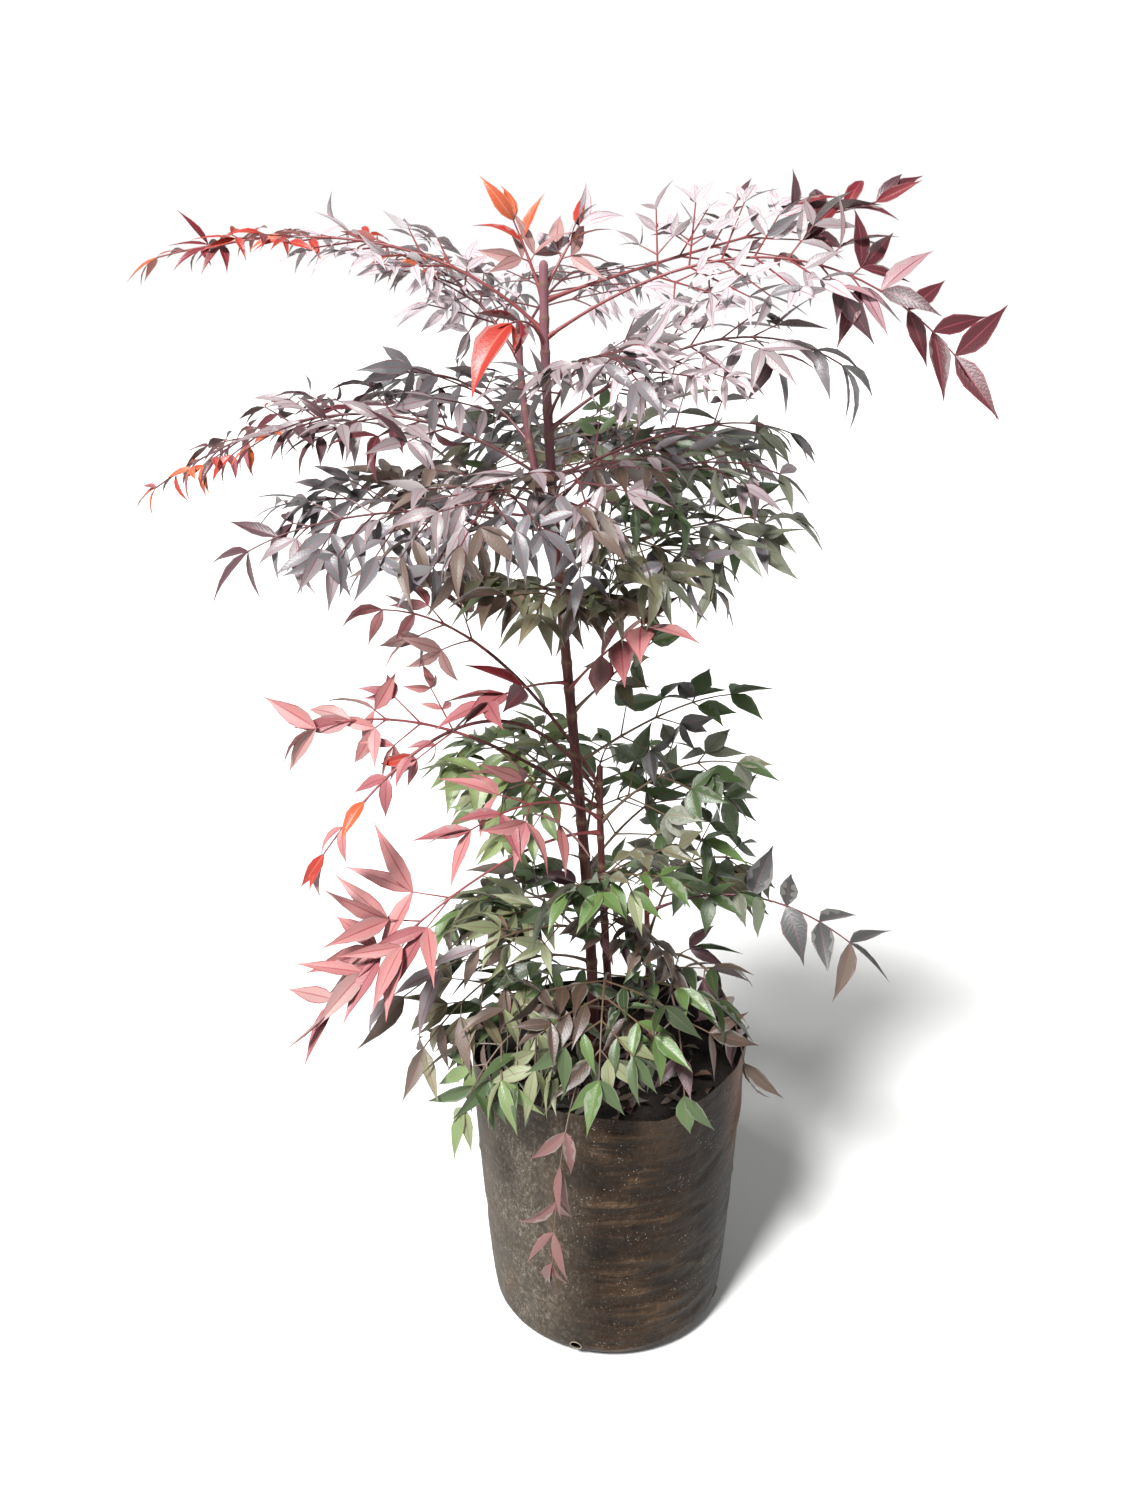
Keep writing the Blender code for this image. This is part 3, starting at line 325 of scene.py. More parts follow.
# The leaflets' colours by frond: those dealt to its inner sprays, then those dealt beyond OUTER_START
OUTER_START = 0.45
DEALT = {
    "top_left": ("silver silver silver scarlet", "scarlet crimson scarlet orange"),
    "top_left_back": ("silver silver mauve", "silver mauve orange"),
    "top_spire_left": ("silver blush", "scarlet orange crimson"),
    "top_spire_right": ("silver blush", "scarlet silver orange"),
    "top_right_upper": ("silver plum wine silver", "wine crimson wine plum"),
    "top_right_lower": ("silver mauve silver slate", "wine plum wine petal wine"),
    "top_front": ("crimson silver", "scarlet"),
    "top_back": ("silver silver slate", "silver mauve"),
    "mid_front_high": ("silver mauve mauve", "silver mauve slate"),
    "mid_right_high": ("silver mauve silver", "mauve slate plum"),
    "mid_left_long": ("mauve wine plum mauve", "orange wine scarlet rose"),
    "mid_right_back": ("slate moss forest", "slate moss plum"),
    "mid_front": ("taupe mauve umber", "mauve taupe mauve slate"),
    "mid_right": ("slate moss forest", "slate mauve moss"),
    "mid_front_left": ("mauve taupe", "mauve taupe slate mauve"),
    "mid_left_low": ("slate mauve taupe", "slate mauve plum"),
    "mid_left_back": ("slate slate mauve", "slate mauve"),
    "mid_front_right": ("olive slate moss", "slate moss mauve"),
    "mid_right_low": ("moss olive slate", "forest slate moss"),
    "mid_low_front": ("olive lime bronze", "olive bronze umber khaki"),
    "mid_back_left": ("slate mauve", "slate mauve"),
    "mid_back": ("olive slate forest", "slate olive"),
    "mid_back_right": ("slate olive forest", "slate forest"),
    "pink_left_high": ("rose blush", "rose salmon wine"),
    "pink_left": ("salmon rose", "rose salmon blush"),
    "pink_left_low": ("rose scarlet", "orange salmon scarlet salmon"),
    "red_front_left": ("wine crimson", "wine crimson rose"),
    "pink_front_right": ("rose wine", "salmon rose salmon"),
    "open_right": ("olive green", "forest green olive"),
    "green_right_high": ("forest charcoal", "forest green forest charcoal"),
    "green_right": ("forest moss", "forest charcoal moss olive"),
    "pink_front": ("rose salmon", "salmon blush rose"),
    "pink_low_left": ("salmon rose salmon", "salmon blush salmon rose"),
    "green_left": ("lime mint sage", "lime sage mint"),
    "green_front": ("forest green olive", "sage forest green"),
    "green_back_left": ("lime mint", "mint lime green"),
    "green_back": ("green forest", "forest green"),
    "green_back_right": ("green forest", "forest olive"),
    "skirt_right_high": ("forest moss", "charcoal moss forest"),
    "skirt_right_long": ("charcoal forest", "charcoal charcoal taupe"),
    "skirt_left_high": ("sage mint sage", "mauve taupe mauve"),
    # The skirt's inner sprays are dealt the dark colours: partly older, darker leaves, partly painted shade
    # between the leaves.
    "skirt_left": ("pine sage mint taupe", "taupe khaki taupe"),
    "skirt_left_low": ("pine sage forest mint", "sage taupe forest mint"),
    "skirt_front": ("pine forest green umber", "green sage forest umber green"),
    "skirt_hanging": ("dusk", "dusk dusk dusk rose"),
    "skirt_front_right": ("plum umber pine", "forest green plum umber"),
    "skirt_middle": ("umber plum pine", "taupe umber forest plum"),
    "skirt_right": ("plum pine", "plum umber bronze"),
    "skirt_back_left": ("sage green bronze", "sage mint bronze"),
    "skirt_back_right": ("green olive", "green bronze"),
}
STRAY_LEAF_SHARE = 0.2

# Colours as a screen shows them: the leaflet's blade, then its margin and rib
TINTS = {
    "silver": ((212, 203, 208), (194, 120, 132)),
    "mauve": ((164, 152, 155), (158, 106, 114)),
    "slate": ((128, 126, 130), (146, 104, 108)),
    "charcoal": ((78, 78, 78), (104, 82, 80)),
    "plum": ((90, 62, 68), (128, 72, 80)),
    "wine": ((94, 36, 44), (138, 58, 70)),
    "petal": ((188, 146, 152), (142, 64, 78)),
    "crimson": ((134, 36, 46), (172, 72, 80)),
    "scarlet": ((194, 56, 42), (216, 100, 78)),
    "orange": ((216, 96, 54), (228, 134, 94)),
    "salmon": ((204, 134, 132), (176, 84, 90)),
    "rose": ((178, 102, 106), (152, 66, 76)),
    "blush": ((196, 150, 146), (170, 100, 102)),
    "bronze": ((130, 110, 92), (138, 96, 82)),
    "khaki": ((148, 142, 112), (142, 106, 86)),
    "sage": ((146, 154, 112), (136, 122, 94)),
    "mint": ((130, 154, 98), (142, 140, 98)),
    "taupe": ((120, 103, 91), (130, 90, 84)),
    "dusk": ((132, 96, 92), (152, 84, 84)),
    "olive": ((118, 118, 90), (130, 106, 84)),
    "moss": ((124, 130, 110), (126, 112, 92)),
    "lime": ((146, 168, 104), (142, 132, 88)),
    "green": ((96, 128, 66), (122, 124, 78)),
    "forest": ((78, 102, 60), (100, 98, 70)),
    # The next two are dark leaf colours, dealt mostly to the skirt's inner sprays: partly older, darker
    # leaves and partly painted shade between the leaves.
    "pine": ((50, 68, 36), (78, 78, 46)),
    "umber": ((84, 68, 56), (108, 72, 62)),
    "tan": ((124, 92, 66), (98, 66, 46)),
}
STRETCHED_FILM = (150, 136, 118)
SUNLIT_SHARE = 0.5
# Painted light: the silver top leaflets are made paler than their sunlit colour, so that they still look pale
# in shade.
PAINTED_LIGHT_GAIN = {"silver": 1.1}
BLADE_ROUGHNESS = {"rose": 0.52, "salmon": 0.52, "blush": 0.52, "dusk": 0.55, "taupe": 0.5, "sage": 0.5}
PALE_UNDERSIDE = (0.20, 0.185, 0.17)
UNDERSIDE_SHARE = 0.35
TWIG_COLOURS = {"red": (154, 68, 70), "wine": (116, 60, 64), "green": (112, 88, 66)}
TWIG_OF_TINT = {
    "scarlet": "red", "wine": "red", "rose": "red", "mauve": "wine", "slate": "wine",
    "bronze": "green", "olive": "green", "green": "green",
}
TWIG_OF_FROND = {"skirt_hanging": "green"}

# The floor, and the light: a white surround that is dimmer overhead, and the key lamp from the upper left
FLOOR_SIZE = 120.0
FLOOR_COLOUR = (0.62, 0.62, 0.61)
HORIZON_BAND = (0.3, 0.5)
ZENITH_LIGHT = 0.3
KEY_LIGHT = 8.6
KEY_ANGLE = 13
KEY_TILT = 38
KEY_HEADING = -34

# The camera, from the photograph: its place, how far it looks down, and its lens
CAMERA_PLACE = (-0.0444, -1.102, 1.017)
CAMERA_PITCH = 19.6
CAMERA_LENS = 30.0
CAMERA_SENSOR = 36.0


def unit(vector):
    return vector / np.linalg.norm(vector, axis=-1, keepdims=True)


# Materials


def tone(colour):
    """A sunlit screen colour of 0 to 255 as the linear reflectance that shows it here."""
    shares = np.array(colour) / 255
    bright = np.where(shares <= 0.04045, shares / 12.92, ((shares + 0.055) / 1.055) ** 2.4)
    return bright * SUNLIT_SHARE


def new_material(name):
    """A material and its node tree."""
    material = bpy.data.materials.new(name)
    material.use_nodes = True
    return material, material.node_tree


def set_inputs(tree, node, inputs):
    """Sets a node's sockets by name or place, and links those that are given a socket."""
    for key, value in inputs.items():
        if isinstance(value, bpy.types.NodeSocket):
            tree.links.new(value, node.inputs[key])
        else:
            node.inputs[key].default_value = value


def finish(material, colour, roughness, gloss=0.5, normal=None):
    """Gives a material's shader its colour, roughness, gloss and relief, each a constant or a socket."""
    if not isinstance(colour, bpy.types.NodeSocket):
        colour = (*colour, 1.0)
    inputs = {"Base Color": colour, "Roughness": roughness, "Specular IOR Level": gloss}
    if normal:
        inputs["Normal"] = normal
    tree = material.node_tree
    set_inputs(tree, tree.nodes["Principled BSDF"], inputs)
    return material


def add_node(tree, kind, inputs=None, **settings):
    """A node with its inputs and settings."""
    node = tree.nodes.new(kind)
    for key, value in settings.items():
        setattr(node, key, value)
    set_inputs(tree, node, inputs or {})
    return node


def object_place(tree, scale=(1.0, 1.0, 1.0)):
    """Object coordinates, stretched by the scale."""
    place = add_node(tree, "ShaderNodeTexCoord")
    return add_node(tree, "ShaderNodeMapping", {"Vector": place.outputs["Object"], "Scale": scale}).outputs[0]


def axes_of(tree, place):
    """A place's sockets X, Y and Z."""
    return add_node(tree, "ShaderNodeSeparateXYZ", {0: place}).outputs


def attribute_of(tree, name):
    return add_node(tree, "ShaderNodeAttribute", attribute_name=name).outputs["Fac"]


def noise_of(tree, place, scale, detail=4.0, roughness=0.55):
    inputs = {"Vector": place, "Scale": scale, "Detail": detail, "Roughness": roughness}
    return add_node(tree, "ShaderNodeTexNoise", inputs).outputs["Fac"]


def specks_of(tree, place, scale):
    """The distance from the middle of the nearest of many scattered specks."""
    return add_node(tree, "ShaderNodeTexVoronoi", {"Vector": place, "Scale": scale}).outputs["Distance"]


def ramp(tree, value, low, high, start=0.0, end=1.0):
    """A value's stretch from low to high, as start to end."""
    inputs = {"Value": value, "From Min": low, "From Max": high, "To Min": start, "To Max": end}
    return add_node(tree, "ShaderNodeMapRange", inputs).outputs["Result"]


def maths(tree, operation, first, second=0.0):
    return add_node(tree, "ShaderNodeMath", {0: first, 1: second}, operation=operation).outputs[0]


def times(tree, product, *values):
    """A socket multiplied by each of the values or sockets."""
    for value in values:
        product = maths(tree, "MULTIPLY", product, value)
    return product


def mixed(tree, share, first, second):
    """A blend of two colours, each a screen colour or a socket."""
    inputs = {"Factor": share}
    for place, colour in ((6, first), (7, second)):
        socket = isinstance(colour, bpy.types.NodeSocket)
        inputs[place] = colour if socket else (*tone(colour), 1.0)
    return add_node(tree, "ShaderNodeMix", inputs, data_type="RGBA").outputs[2]


def painted(tree, colour, *layers):
    """A colour with layers over it, each the share that it covers and its screen colour."""
    for share, layer in layers:
        colour = mixed(tree, share, colour, layer)
    return colour


def relief(tree, height, strength, distance, under=None):
    inputs = {"Height": height, "Strength": strength, "Distance": distance}
    if under:
        inputs["Normal"] = under
    return add_node(tree, "ShaderNodeBump", inputs).outputs["Normal"]


def leaf_material(name, colour, roughness):
    """One plain leaf colour, with side veins and a fine grain as its relief."""
    material, tree = new_material(name)
    leaf_map = axes_of(tree, add_node(tree, "ShaderNodeUVMap", uv_map="leaf").outputs["UV"])
    from_rib = maths(tree, "ABSOLUTE", maths(tree, "SUBTRACT", leaf_map["X"], 0.5))
    slanted = maths(tree, "SUBTRACT", leaf_map["Y"], times(tree, from_rib, VEIN_SLANT))
    veins = times(tree, maths(tree, "SINE", times(tree, slanted, VEIN_WAVES)), VEIN_DEPTH)
    grain = noise_of(tree, object_place(tree), 520.0, 3.0)
    normal = relief(tree, maths(tree, "ADD", veins, grain), 0.5, 0.0005)
    return finish(material, colour, roughness, 0.45, normal)


def leaf_materials(tint):
    """A tint's blade, margin and underside, made once."""
    name = f"leaf {tint} blade"
    if name not in bpy.data.materials:
        blade, margin = (tone(colour) * PAINTED_LIGHT_GAIN.get(tint, 1.0) for colour in TINTS[tint])
        under = blade * (1 - UNDERSIDE_SHARE) + np.array(PALE_UNDERSIDE) * UNDERSIDE_SHARE
        rough = BLADE_ROUGHNESS.get(tint, 0.42)
        leaf_material(name, blade, rough)
        leaf_material(f"leaf {tint} margin", margin, rough + 0.05)
        leaf_material(f"leaf {tint} underside", under, 0.6)
    return [bpy.data.materials[f"leaf {tint} {side}"] for side in ("blade", "margin", "underside")]


def twig_material(kind):
    """A twig colour with a fine grain, made once."""
    name = f"twig {kind}"
    if name in bpy.data.materials:
        return bpy.data.materials[name]
    material, tree = new_material(name)
    grain = noise_of(tree, object_place(tree), 700.0, 2.0)
    return finish(material, tone(TWIG_COLOURS[kind]), 0.45, normal=relief(tree, grain, 0.4, 0.0004))


def bark_material():
    """Purple-brown young bark: long fine streaks, paler patches and leaf scars, pinker towards the top."""
    material, tree = new_material("cane bark")
    streaks = noise_of(tree, object_place(tree, (1.0, 1.0, 0.06)), 700.0, 5.0)
    patches = noise_of(tree, object_place(tree, (1.0, 1.0, 0.25)), 60.0, 4.0)
    height = axes_of(tree, object_place(tree))["Z"]
    colour = painted(
        tree, (58, 25, 26),
        (ramp(tree, streaks, 0.35, 0.7), (116, 58, 56)),
        (ramp(tree, patches, 0.55, 0.72, 0.0, 0.5), (140, 100, 86)),
        (ramp(tree, height, 0.78, 1.02, 0.0, 0.7), (170, 116, 130)),
        (times(tree, attribute_of(tree, "worn"), 0.75), (132, 104, 84)))
    roughness = ramp(tree, patches, 0.3, 0.7, 0.42, 0.68)
    return finish(material, colour, roughness, 0.2, relief(tree, streaks, 0.6, 0.0006))


def film_material():
    """Nursery film: dusty grey on its left and paler there by painted light, brown with level wrinkles in its
    middle with painted highlights and painted shade on them, darker on its right by painted shade, with a
    painted glow near its right rim where light comes through, and with scratches and pale specks all over."""
    material, tree = new_material("grow bag film")
    place = object_place(tree)
    clouds = noise_of(tree, place, 16.0, 6.0, 0.6)
    fine = noise_of(tree, place, 130.0, 6.0, 0.7)
    scratches = noise_of(tree, object_place(tree, (1.0, 1.0, 0.45)), 400.0, 4.0, 0.7)
    level = noise_of(tree, object_place(tree, (0.13, 0.13, 1.0)), 105.0, 3.0, 0.5)
    wrinkles = noise_of(tree, object_place(tree, (0.35, 0.35, 1.0)), 60.0, 6.0, 0.6)
    axes = axes_of(tree, place)
    # Paler towards the film's left: partly dust, partly painted light on the side the key light falls on.
    left = ramp(tree, axes["X"], -0.01, -0.075)
    # Painted shade: the film is darkened towards its right, the side away from the key light.
    right = ramp(tree, axes["X"], 0.055, 0.115)
    middle = times(tree, ramp(tree, axes["X"], -0.04, 0.0), ramp(tree, axes["X"], 0.09, 0.05),
                   ramp(tree, clouds, 0.38, 0.58, 0.25, 1.0))
    # Painted light: an orange glow near the film's right rim, where light comes through the film.
    edge = times(tree, ramp(tree, axes["X"], 0.108, 0.136), ramp(tree, axes["Z"], 0.17, 0.29),
                 ramp(tree, axes["Y"], 0.01, -0.045), ramp(tree, fine, 0.3, 0.6, 0.5, 1.0))
    # Painted highlights on the ridges of the level wrinkles, and painted shade in their hollows.
    painted_wrinkle_highlights = times(tree, middle, ramp(tree, level, 0.54, 0.66, 0.0, 0.75))
    painted_wrinkle_shade = times(tree, middle, ramp(tree, level, 0.47, 0.34, 0.0, 0.8))
    streaks = times(tree, ramp(tree, scratches, 0.42, 0.66), ramp(tree, fine, 0.34, 0.62))
    dust = times(tree, streaks, maths(tree, "ADD", times(tree, left, 0.8), 0.1),
                 ramp(tree, clouds, 0.3, 0.6, 0.3, 1.0))
    marks = times(tree, ramp(tree, scratches, 0.6, 0.74), ramp(tree, fine, 0.4, 0.6, 0.0, 0.45))
    specks = times(tree, ramp(tree, specks_of(tree, place, 260.0), 0.17, 0.09),
                   ramp(tree, noise_of(tree, place, 30.0, 2.0), 0.50, 0.60))
    colour = painted(
        tree, (28, 20, 14),
        (ramp(tree, clouds, 0.3, 0.7), (72, 51, 33)),
        # Painted highlight on the wrinkles' ridges, then painted shade in their hollows.
        (painted_wrinkle_highlights, (112, 86, 62)),
        (painted_wrinkle_shade, (24, 17, 13)),
        # Painted shade over the film's right.
        (times(tree, right, 0.9), (16, 11, 8)),
        # The left's pale grey: partly dust, partly painted light.
        (times(tree, left, 0.7), (88, 80, 70)),
        (times(tree, dust, 0.75), (182, 172, 158)),
        # Paler brown on the outward creases: partly wear, partly a painted highlight on their ridges.
        (times(tree, attribute_of(tree, "crease_wear_and_highlight"), 0.25), (108, 88, 68)),
        (marks, (168, 158, 144)),
        # Painted glow of light through the right rim.
        (times(tree, edge, 0.5), (170, 112, 76)),
        (times(tree, specks, 0.7), (220, 212, 200)))
    normal = relief(tree, wrinkles, 0.6, 0.004)
    normal = relief(tree, times(tree, level, middle), 1.0, 0.014, normal)
    normal = relief(tree, fine, 0.35, 0.0012, normal)
    return finish(material, colour, ramp(tree, dust, 0.0, 0.5, 0.5, 0.8), 0.1, normal)


def inside_material():
    """The film's inner face: nearly black, with a little dried soil on it."""
    material, tree = new_material("grow bag inside")
    grain = noise_of(tree, object_place(tree), 70.0, 6.0, 0.65)
    colour = mixed(tree, ramp(tree, grain, 0.45, 0.75), (15, 12, 10), (52, 41, 32))
    return finish(material, colour, 0.8, 0.2, relief(tree, grain, 0.5, 0.002))


def soil_material():
    """Dark damp potting soil with paler crumbs."""
    material, tree = new_material("potting soil")
    place = object_place(tree)
    crumbs = noise_of(tree, place, 160.0, 8.0, 0.7)
    colour = painted(
        tree, (18, 13, 10),
        (ramp(tree, crumbs, 0.35, 0.7), (62, 46, 34)),
        (ramp(tree, specks_of(tree, place, 240.0), 0.14, 0.05, 0.0, 0.6), (118, 92, 70)))
    return finish(material, colour, 0.92, normal=relief(tree, crumbs, 1.0, 0.004))


def plain_material(name, colour, roughness):
    """One plain colour, given as a linear reflectance."""
    material, _ = new_material(name)
    return finish(material, colour, roughness)


# Making pieces


def add_primitive(operator, **settings):
    """A primitive, with nothing else selected."""
    bpy.ops.object.select_all(action="DESELECT")
    operator(**settings)
    return bpy.context.object


def start_from(operator, **settings):
    """A primitive alone in edit mode, with all of it selected."""
    made = add_primitive(operator, **settings)
    bpy.ops.object.mode_set(mode="EDIT")
    bpy.ops.mesh.select_all(action="SELECT")
    return made


def extrude_ring(shift, scale, middle=(0, 0, 0)):
    """Carries the selected ring on by a shift, wider or narrower about a middle."""
    bpy.ops.mesh.extrude_region_move(TRANSFORM_OT_translate={"value": shift})
    bpy.ops.transform.resize(value=(scale, scale, 1), center_override=middle)


def carry_up(height, radius, rings):
    """Carries the selected ring on through the heights and radii given. It gives the last radius back."""
    for next_height, next_radius in rings:
        extrude_ring((0, 0, next_height - height), next_radius / radius)
        height, radius = next_height, next_radius
    return radius


def turn_outwards():
    """Turns the faces of what is edited outwards."""
    bpy.ops.mesh.select_all(action="SELECT")
    bpy.ops.mesh.normals_make_consistent(inside=False)


def stop_editing(made, name):
    bpy.ops.object.mode_set(mode="OBJECT")
    made.name = made.data.name = name


def choose(*objects):
    """Selects these objects alone, the first of them active."""
    bpy.ops.object.select_all(action="DESELECT")
    for made in objects:
        made.select_set(True)
    bpy.context.view_layer.objects.active = objects[0]


def apply_transform(made):
    choose(made)
    bpy.ops.object.transform_apply(location=True, rotation=True, scale=True)


def apply_modifier(made, kind, **settings):
    """Adds a modifier, sets it up and applies it."""
    modifier = made.modifiers.new(kind.lower(), kind)
    for key, value in settings.items():
        setattr(modifier, key, value)
    choose(made)
    bpy.ops.object.modifier_apply(modifier=modifier.name)


def shade(made, angle):
    """Smooth faces, with an edge kept where they meet at more than the angle."""
    made.data.shade_smooth()
    made.data.set_sharp_from_angle(angle=math.radians(angle))


def vertex_places(made):
    places = np.empty(len(made.data.vertices) * 3)
    made.data.vertices.foreach_get("co", places)
    return places.reshape(-1, 3)


def move_vertices(made, places):
    made.data.vertices.foreach_set("co", np.ascontiguousarray(places, dtype=float).ravel())
    made.data.update()


def add_attribute(made, name, values):
    attribute = made.data.attributes.new(name, "FLOAT", "POINT")
    attribute.data.foreach_set("value", np.ascontiguousarray(values, dtype=np.float32))


def add_object(name, data):
    """A new object of the scene from its data."""
    made = bpy.data.objects.new(name, data)
    bpy.context.scene.collection.objects.link(made)
    return made


def join_shapes(name, shapes):
    """One object from many shapes, each its points, its faces and a material place for each face."""
    points, faces, kinds, begin = [], [], [], 0
    for shape_points, shape_faces, shape_kinds in shapes:
        points.append(np.asarray(shape_points))
        faces += [tuple(begin + corner for corner in face) for face in shape_faces]
        kinds += list(shape_kinds)
        begin += len(shape_points)
    mesh = bpy.data.meshes.new(name)
    mesh.from_pydata(np.concatenate(points).tolist(), [], faces)
    mesh.polygons.foreach_set("material_index", kinds)
    return add_object(name, mesh)


def hand_over(piece, materials, slot, *nodes):
    """Gives a finished piece its materials and its body, and hides the nodes that it stands for. The slot is
    not used.
    """
    kinds = np.empty(len(piece.data.polygons), dtype=int)
    piece.data.polygons.foreach_get("material_index", kinds)
    piece.data.materials.clear()
    for material in materials:
        piece.data.materials.append(material)
    piece.data.polygons.foreach_set("material_index", kinds)
    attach(piece, BODY)
    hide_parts(*nodes)


# The bag


def bag_radius(height):
    """Outer radius of the bag's side: a soft corner at the floor, then a wall that widens to the rim."""
    height = np.asarray(height, dtype=float)
    drop = np.clip(1 - height / BAG_CORNER_HEIGHT, 0, 1)
    corner = BAG_FLAT_RADIUS + (BAG_FOOT_RADIUS - BAG_FLAT_RADIUS) * np.sqrt(1 - drop * drop)
    share = np.clip((height - BAG_CORNER_HEIGHT) / (BAG_HEIGHT - BAG_CORNER_HEIGHT), 0, None)
    wall = BAG_FOOT_RADIUS + (BAG_RIM_RADIUS - BAG_FOOT_RADIUS) * share ** BAG_BELLY
    return np.where(height < BAG_CORNER_HEIGHT, corner, wall)


def bag_dent(turn, height):
    """The share by which the film is dented in or out at a turn, which grows with the height."""
    dent = sum(depth * np.sin(count * turn + start) for count, start, depth in BAG_DENTS)
    return dent * height / BAG_HEIGHT


def bag_shift(height):
    """How far the bag's middle lies to the right at a height: its foot stands out that way."""
    return BAG_LEAN * (1 - height / BAG_HEIGHT)


def film_folds():
    """The folds seen on the film, and many small creases by a seeded rule, mostly level ones."""
    rng = np.random.default_rng(CREASE_SEED)
    folds = list(FOLDS)
    for kind in SMALL_CREASES:
        for _ in range(kind.count):
            heading, height, long, wide = (rng.uniform(*span) for span in kind[1:5])
            depth = rng.choice((-1, 1)) * rng.uniform(*kind.depth)
            folds.append(Fold(heading, height, long, wide, depth, rng.normal(0.0, kind.slope)))
    return folds


def fold_push(turn, height, folds):
    """How far the folds push the film out at each place."""
    push = np.zeros_like(turn)
    for fold in folds:
        away = (turn - math.radians(fold.heading) + math.pi) % (2 * math.pi) - math.pi
        across = away * BAG_FOOT_RADIUS
        rise = height - fold.height
        along = across * math.cos(fold.slope) + rise * math.sin(fold.slope)
        beside = -across * math.sin(fold.slope) + rise * math.cos(fold.slope)
        beside = beside + FOLD_WAVE * fold.wide * np.sin(along * FOLD_WAVES)
        fade = np.clip(1 - np.abs(along) / (fold.long / 2), 0, 1)
        push += fold.depth * np.exp(-(beside / fold.wide) ** 2) * fade * fade * (3 - 2 * fade)
    return push


def film_rows():
    """Heights of the film's rows, closest together round the lower corner."""
    corner = [BAG_CORNER_HEIGHT * (1 - math.cos(math.pi / 2 * step / BAG_CORNER_ROWS))
              for step in range(1, BAG_CORNER_ROWS)]
    wall = np.linspace(BAG_CORNER_HEIGHT, BAG_HEIGHT, BAG_ROWS + 1)
    return corner + list(wall)


def make_bag(film, inside):
    """A disc of film carried up row by row, then dented, creased, waved at its edge and thickened."""
    made = start_from(bpy.ops.mesh.primitive_circle_add, vertices=BAG_SEGMENTS,
                      radius=BAG_FLAT_RADIUS, fill_type="NOTHING")
    carry_up(0.0, BAG_FLAT_RADIUS, [(row, float(bag_radius(row))) for row in film_rows()])
    bpy.ops.mesh.select_all(action="DESELECT")
    stop_editing(made, "bag_film")
    select_flat_edge(made)
    bpy.ops.object.mode_set(mode="EDIT")
    carry_up(0.0, BAG_FLAT_RADIUS, [(0.0, BAG_FLAT_RADIUS * share) for share in reversed(BAG_FLAT_RINGS)])
    bpy.ops.mesh.edge_face_add()
    turn_outwards()
    bpy.ops.object.mode_set(mode="OBJECT")
    shape_film(made)
    made.data.materials.append(film)
    made.data.materials.append(inside)
    apply_modifier(made, "SOLIDIFY", thickness=BAG_FILM, offset=-1.0, material_offset=1)
    for heading in DRAINS:
        pierce(made, heading)
    shade(made, 50)
    hand_over(made, [film, inside], "grow_bag_film", "bag")


def select_flat_edge(made):
    """Selects in object mode the ring round the bag's flat underside."""
    places = vertex_places(made)
    chosen = np.hypot(places[:, 0], places[:, 1]) < BAG_FLAT_RADIUS + BAG_FILM
    made.data.vertices.foreach_set("select", chosen)
    for edge in made.data.edges:
        edge.select = bool(chosen[edge.vertices[0]] and chosen[edge.vertices[1]])
    for polygon in made.data.polygons:
        polygon.select = all(chosen[corner] for corner in polygon.vertices)


def film_shift(turn, height, folds):
    """How far the folds and the waved edge push the film out and lift it at a turn and height."""
    push = fold_push(turn, height, folds) * np.clip(height / BAG_CORNER_HEIGHT, 0, 1)
    near_edge = np.exp(-(BAG_HEIGHT - height) / EDGE_FADE)
    push += near_edge * sum(size * np.sin(count * turn + start) for count, start, size in EDGE_SWAYS)
    lift = near_edge * sum(size * np.sin(count * turn + start) for count, start, size in EDGE_LIFTS)
    return push, lift


def shape_film(made):
    """Moves the film's points to where its dents, folds and waved edge carry them."""
    places = vertex_places(made)
    turn = np.arctan2(places[:, 1], places[:, 0])
    reach = np.hypot(places[:, 0], places[:, 1])
    height = places[:, 2].copy()
    push, lift = film_shift(turn, height, film_folds())
    reach = reach * (1 + bag_dent(turn, height)) + push
    places[:, 0] = reach * np.cos(turn) + bag_shift(height)
    places[:, 1] = reach * np.sin(turn) * BAG_DEPTH_SHARE
    places[:, 2] = height + lift
    move_vertices(made, places)
    # The outward push marks the film's outward creases for a paler brown: partly wear, partly a painted
    # highlight.
    add_attribute(made, "crease_wear_and_highlight", np.clip(push / CREASE_MARK_PUSH, 0, 1))


# Drain holes, by heading, and their punched rings
DRAINS = (253, 73, 163, 343)
DRAIN_HEIGHT = 0.0185
DRAIN_RADIUS = 0.0056
DRAIN_CUT = 0.014
DRAIN_RING = 0.0006
DRAIN_RING_LIFT = 0.0003
WALL_STEP = 0.001


def wall_place(heading, height):
    """The film's outer face at a heading and height, and the way out from it."""
    turn = math.radians(heading)
    push, _ = film_shift(np.array((turn,)), np.array((height,)), film_folds())
    reach = float(bag_radius(height)) * (1 + float(bag_dent(turn, height))) + float(push[0])
    across = reach * math.cos(turn) + bag_shift(height)
    place = Vector((across, reach * math.sin(turn) * BAG_DEPTH_SHARE, height))
    wider = float(bag_radius(height + WALL_STEP)) - float(bag_radius(height))
    out = Vector((math.cos(turn), math.sin(turn), -wider / WALL_STEP)).normalized()
    return place, out


def add_at_drain(operator, heading, lift, **settings):
    """A primitive at a drain hole, lifted off the film and with its axis along the way out."""
    place, out = wall_place(heading, DRAIN_HEIGHT)
    rotation = out.to_track_quat("Z", "Y").to_euler()
    return add_primitive(operator, location=place + out * lift, rotation=rotation, **settings)


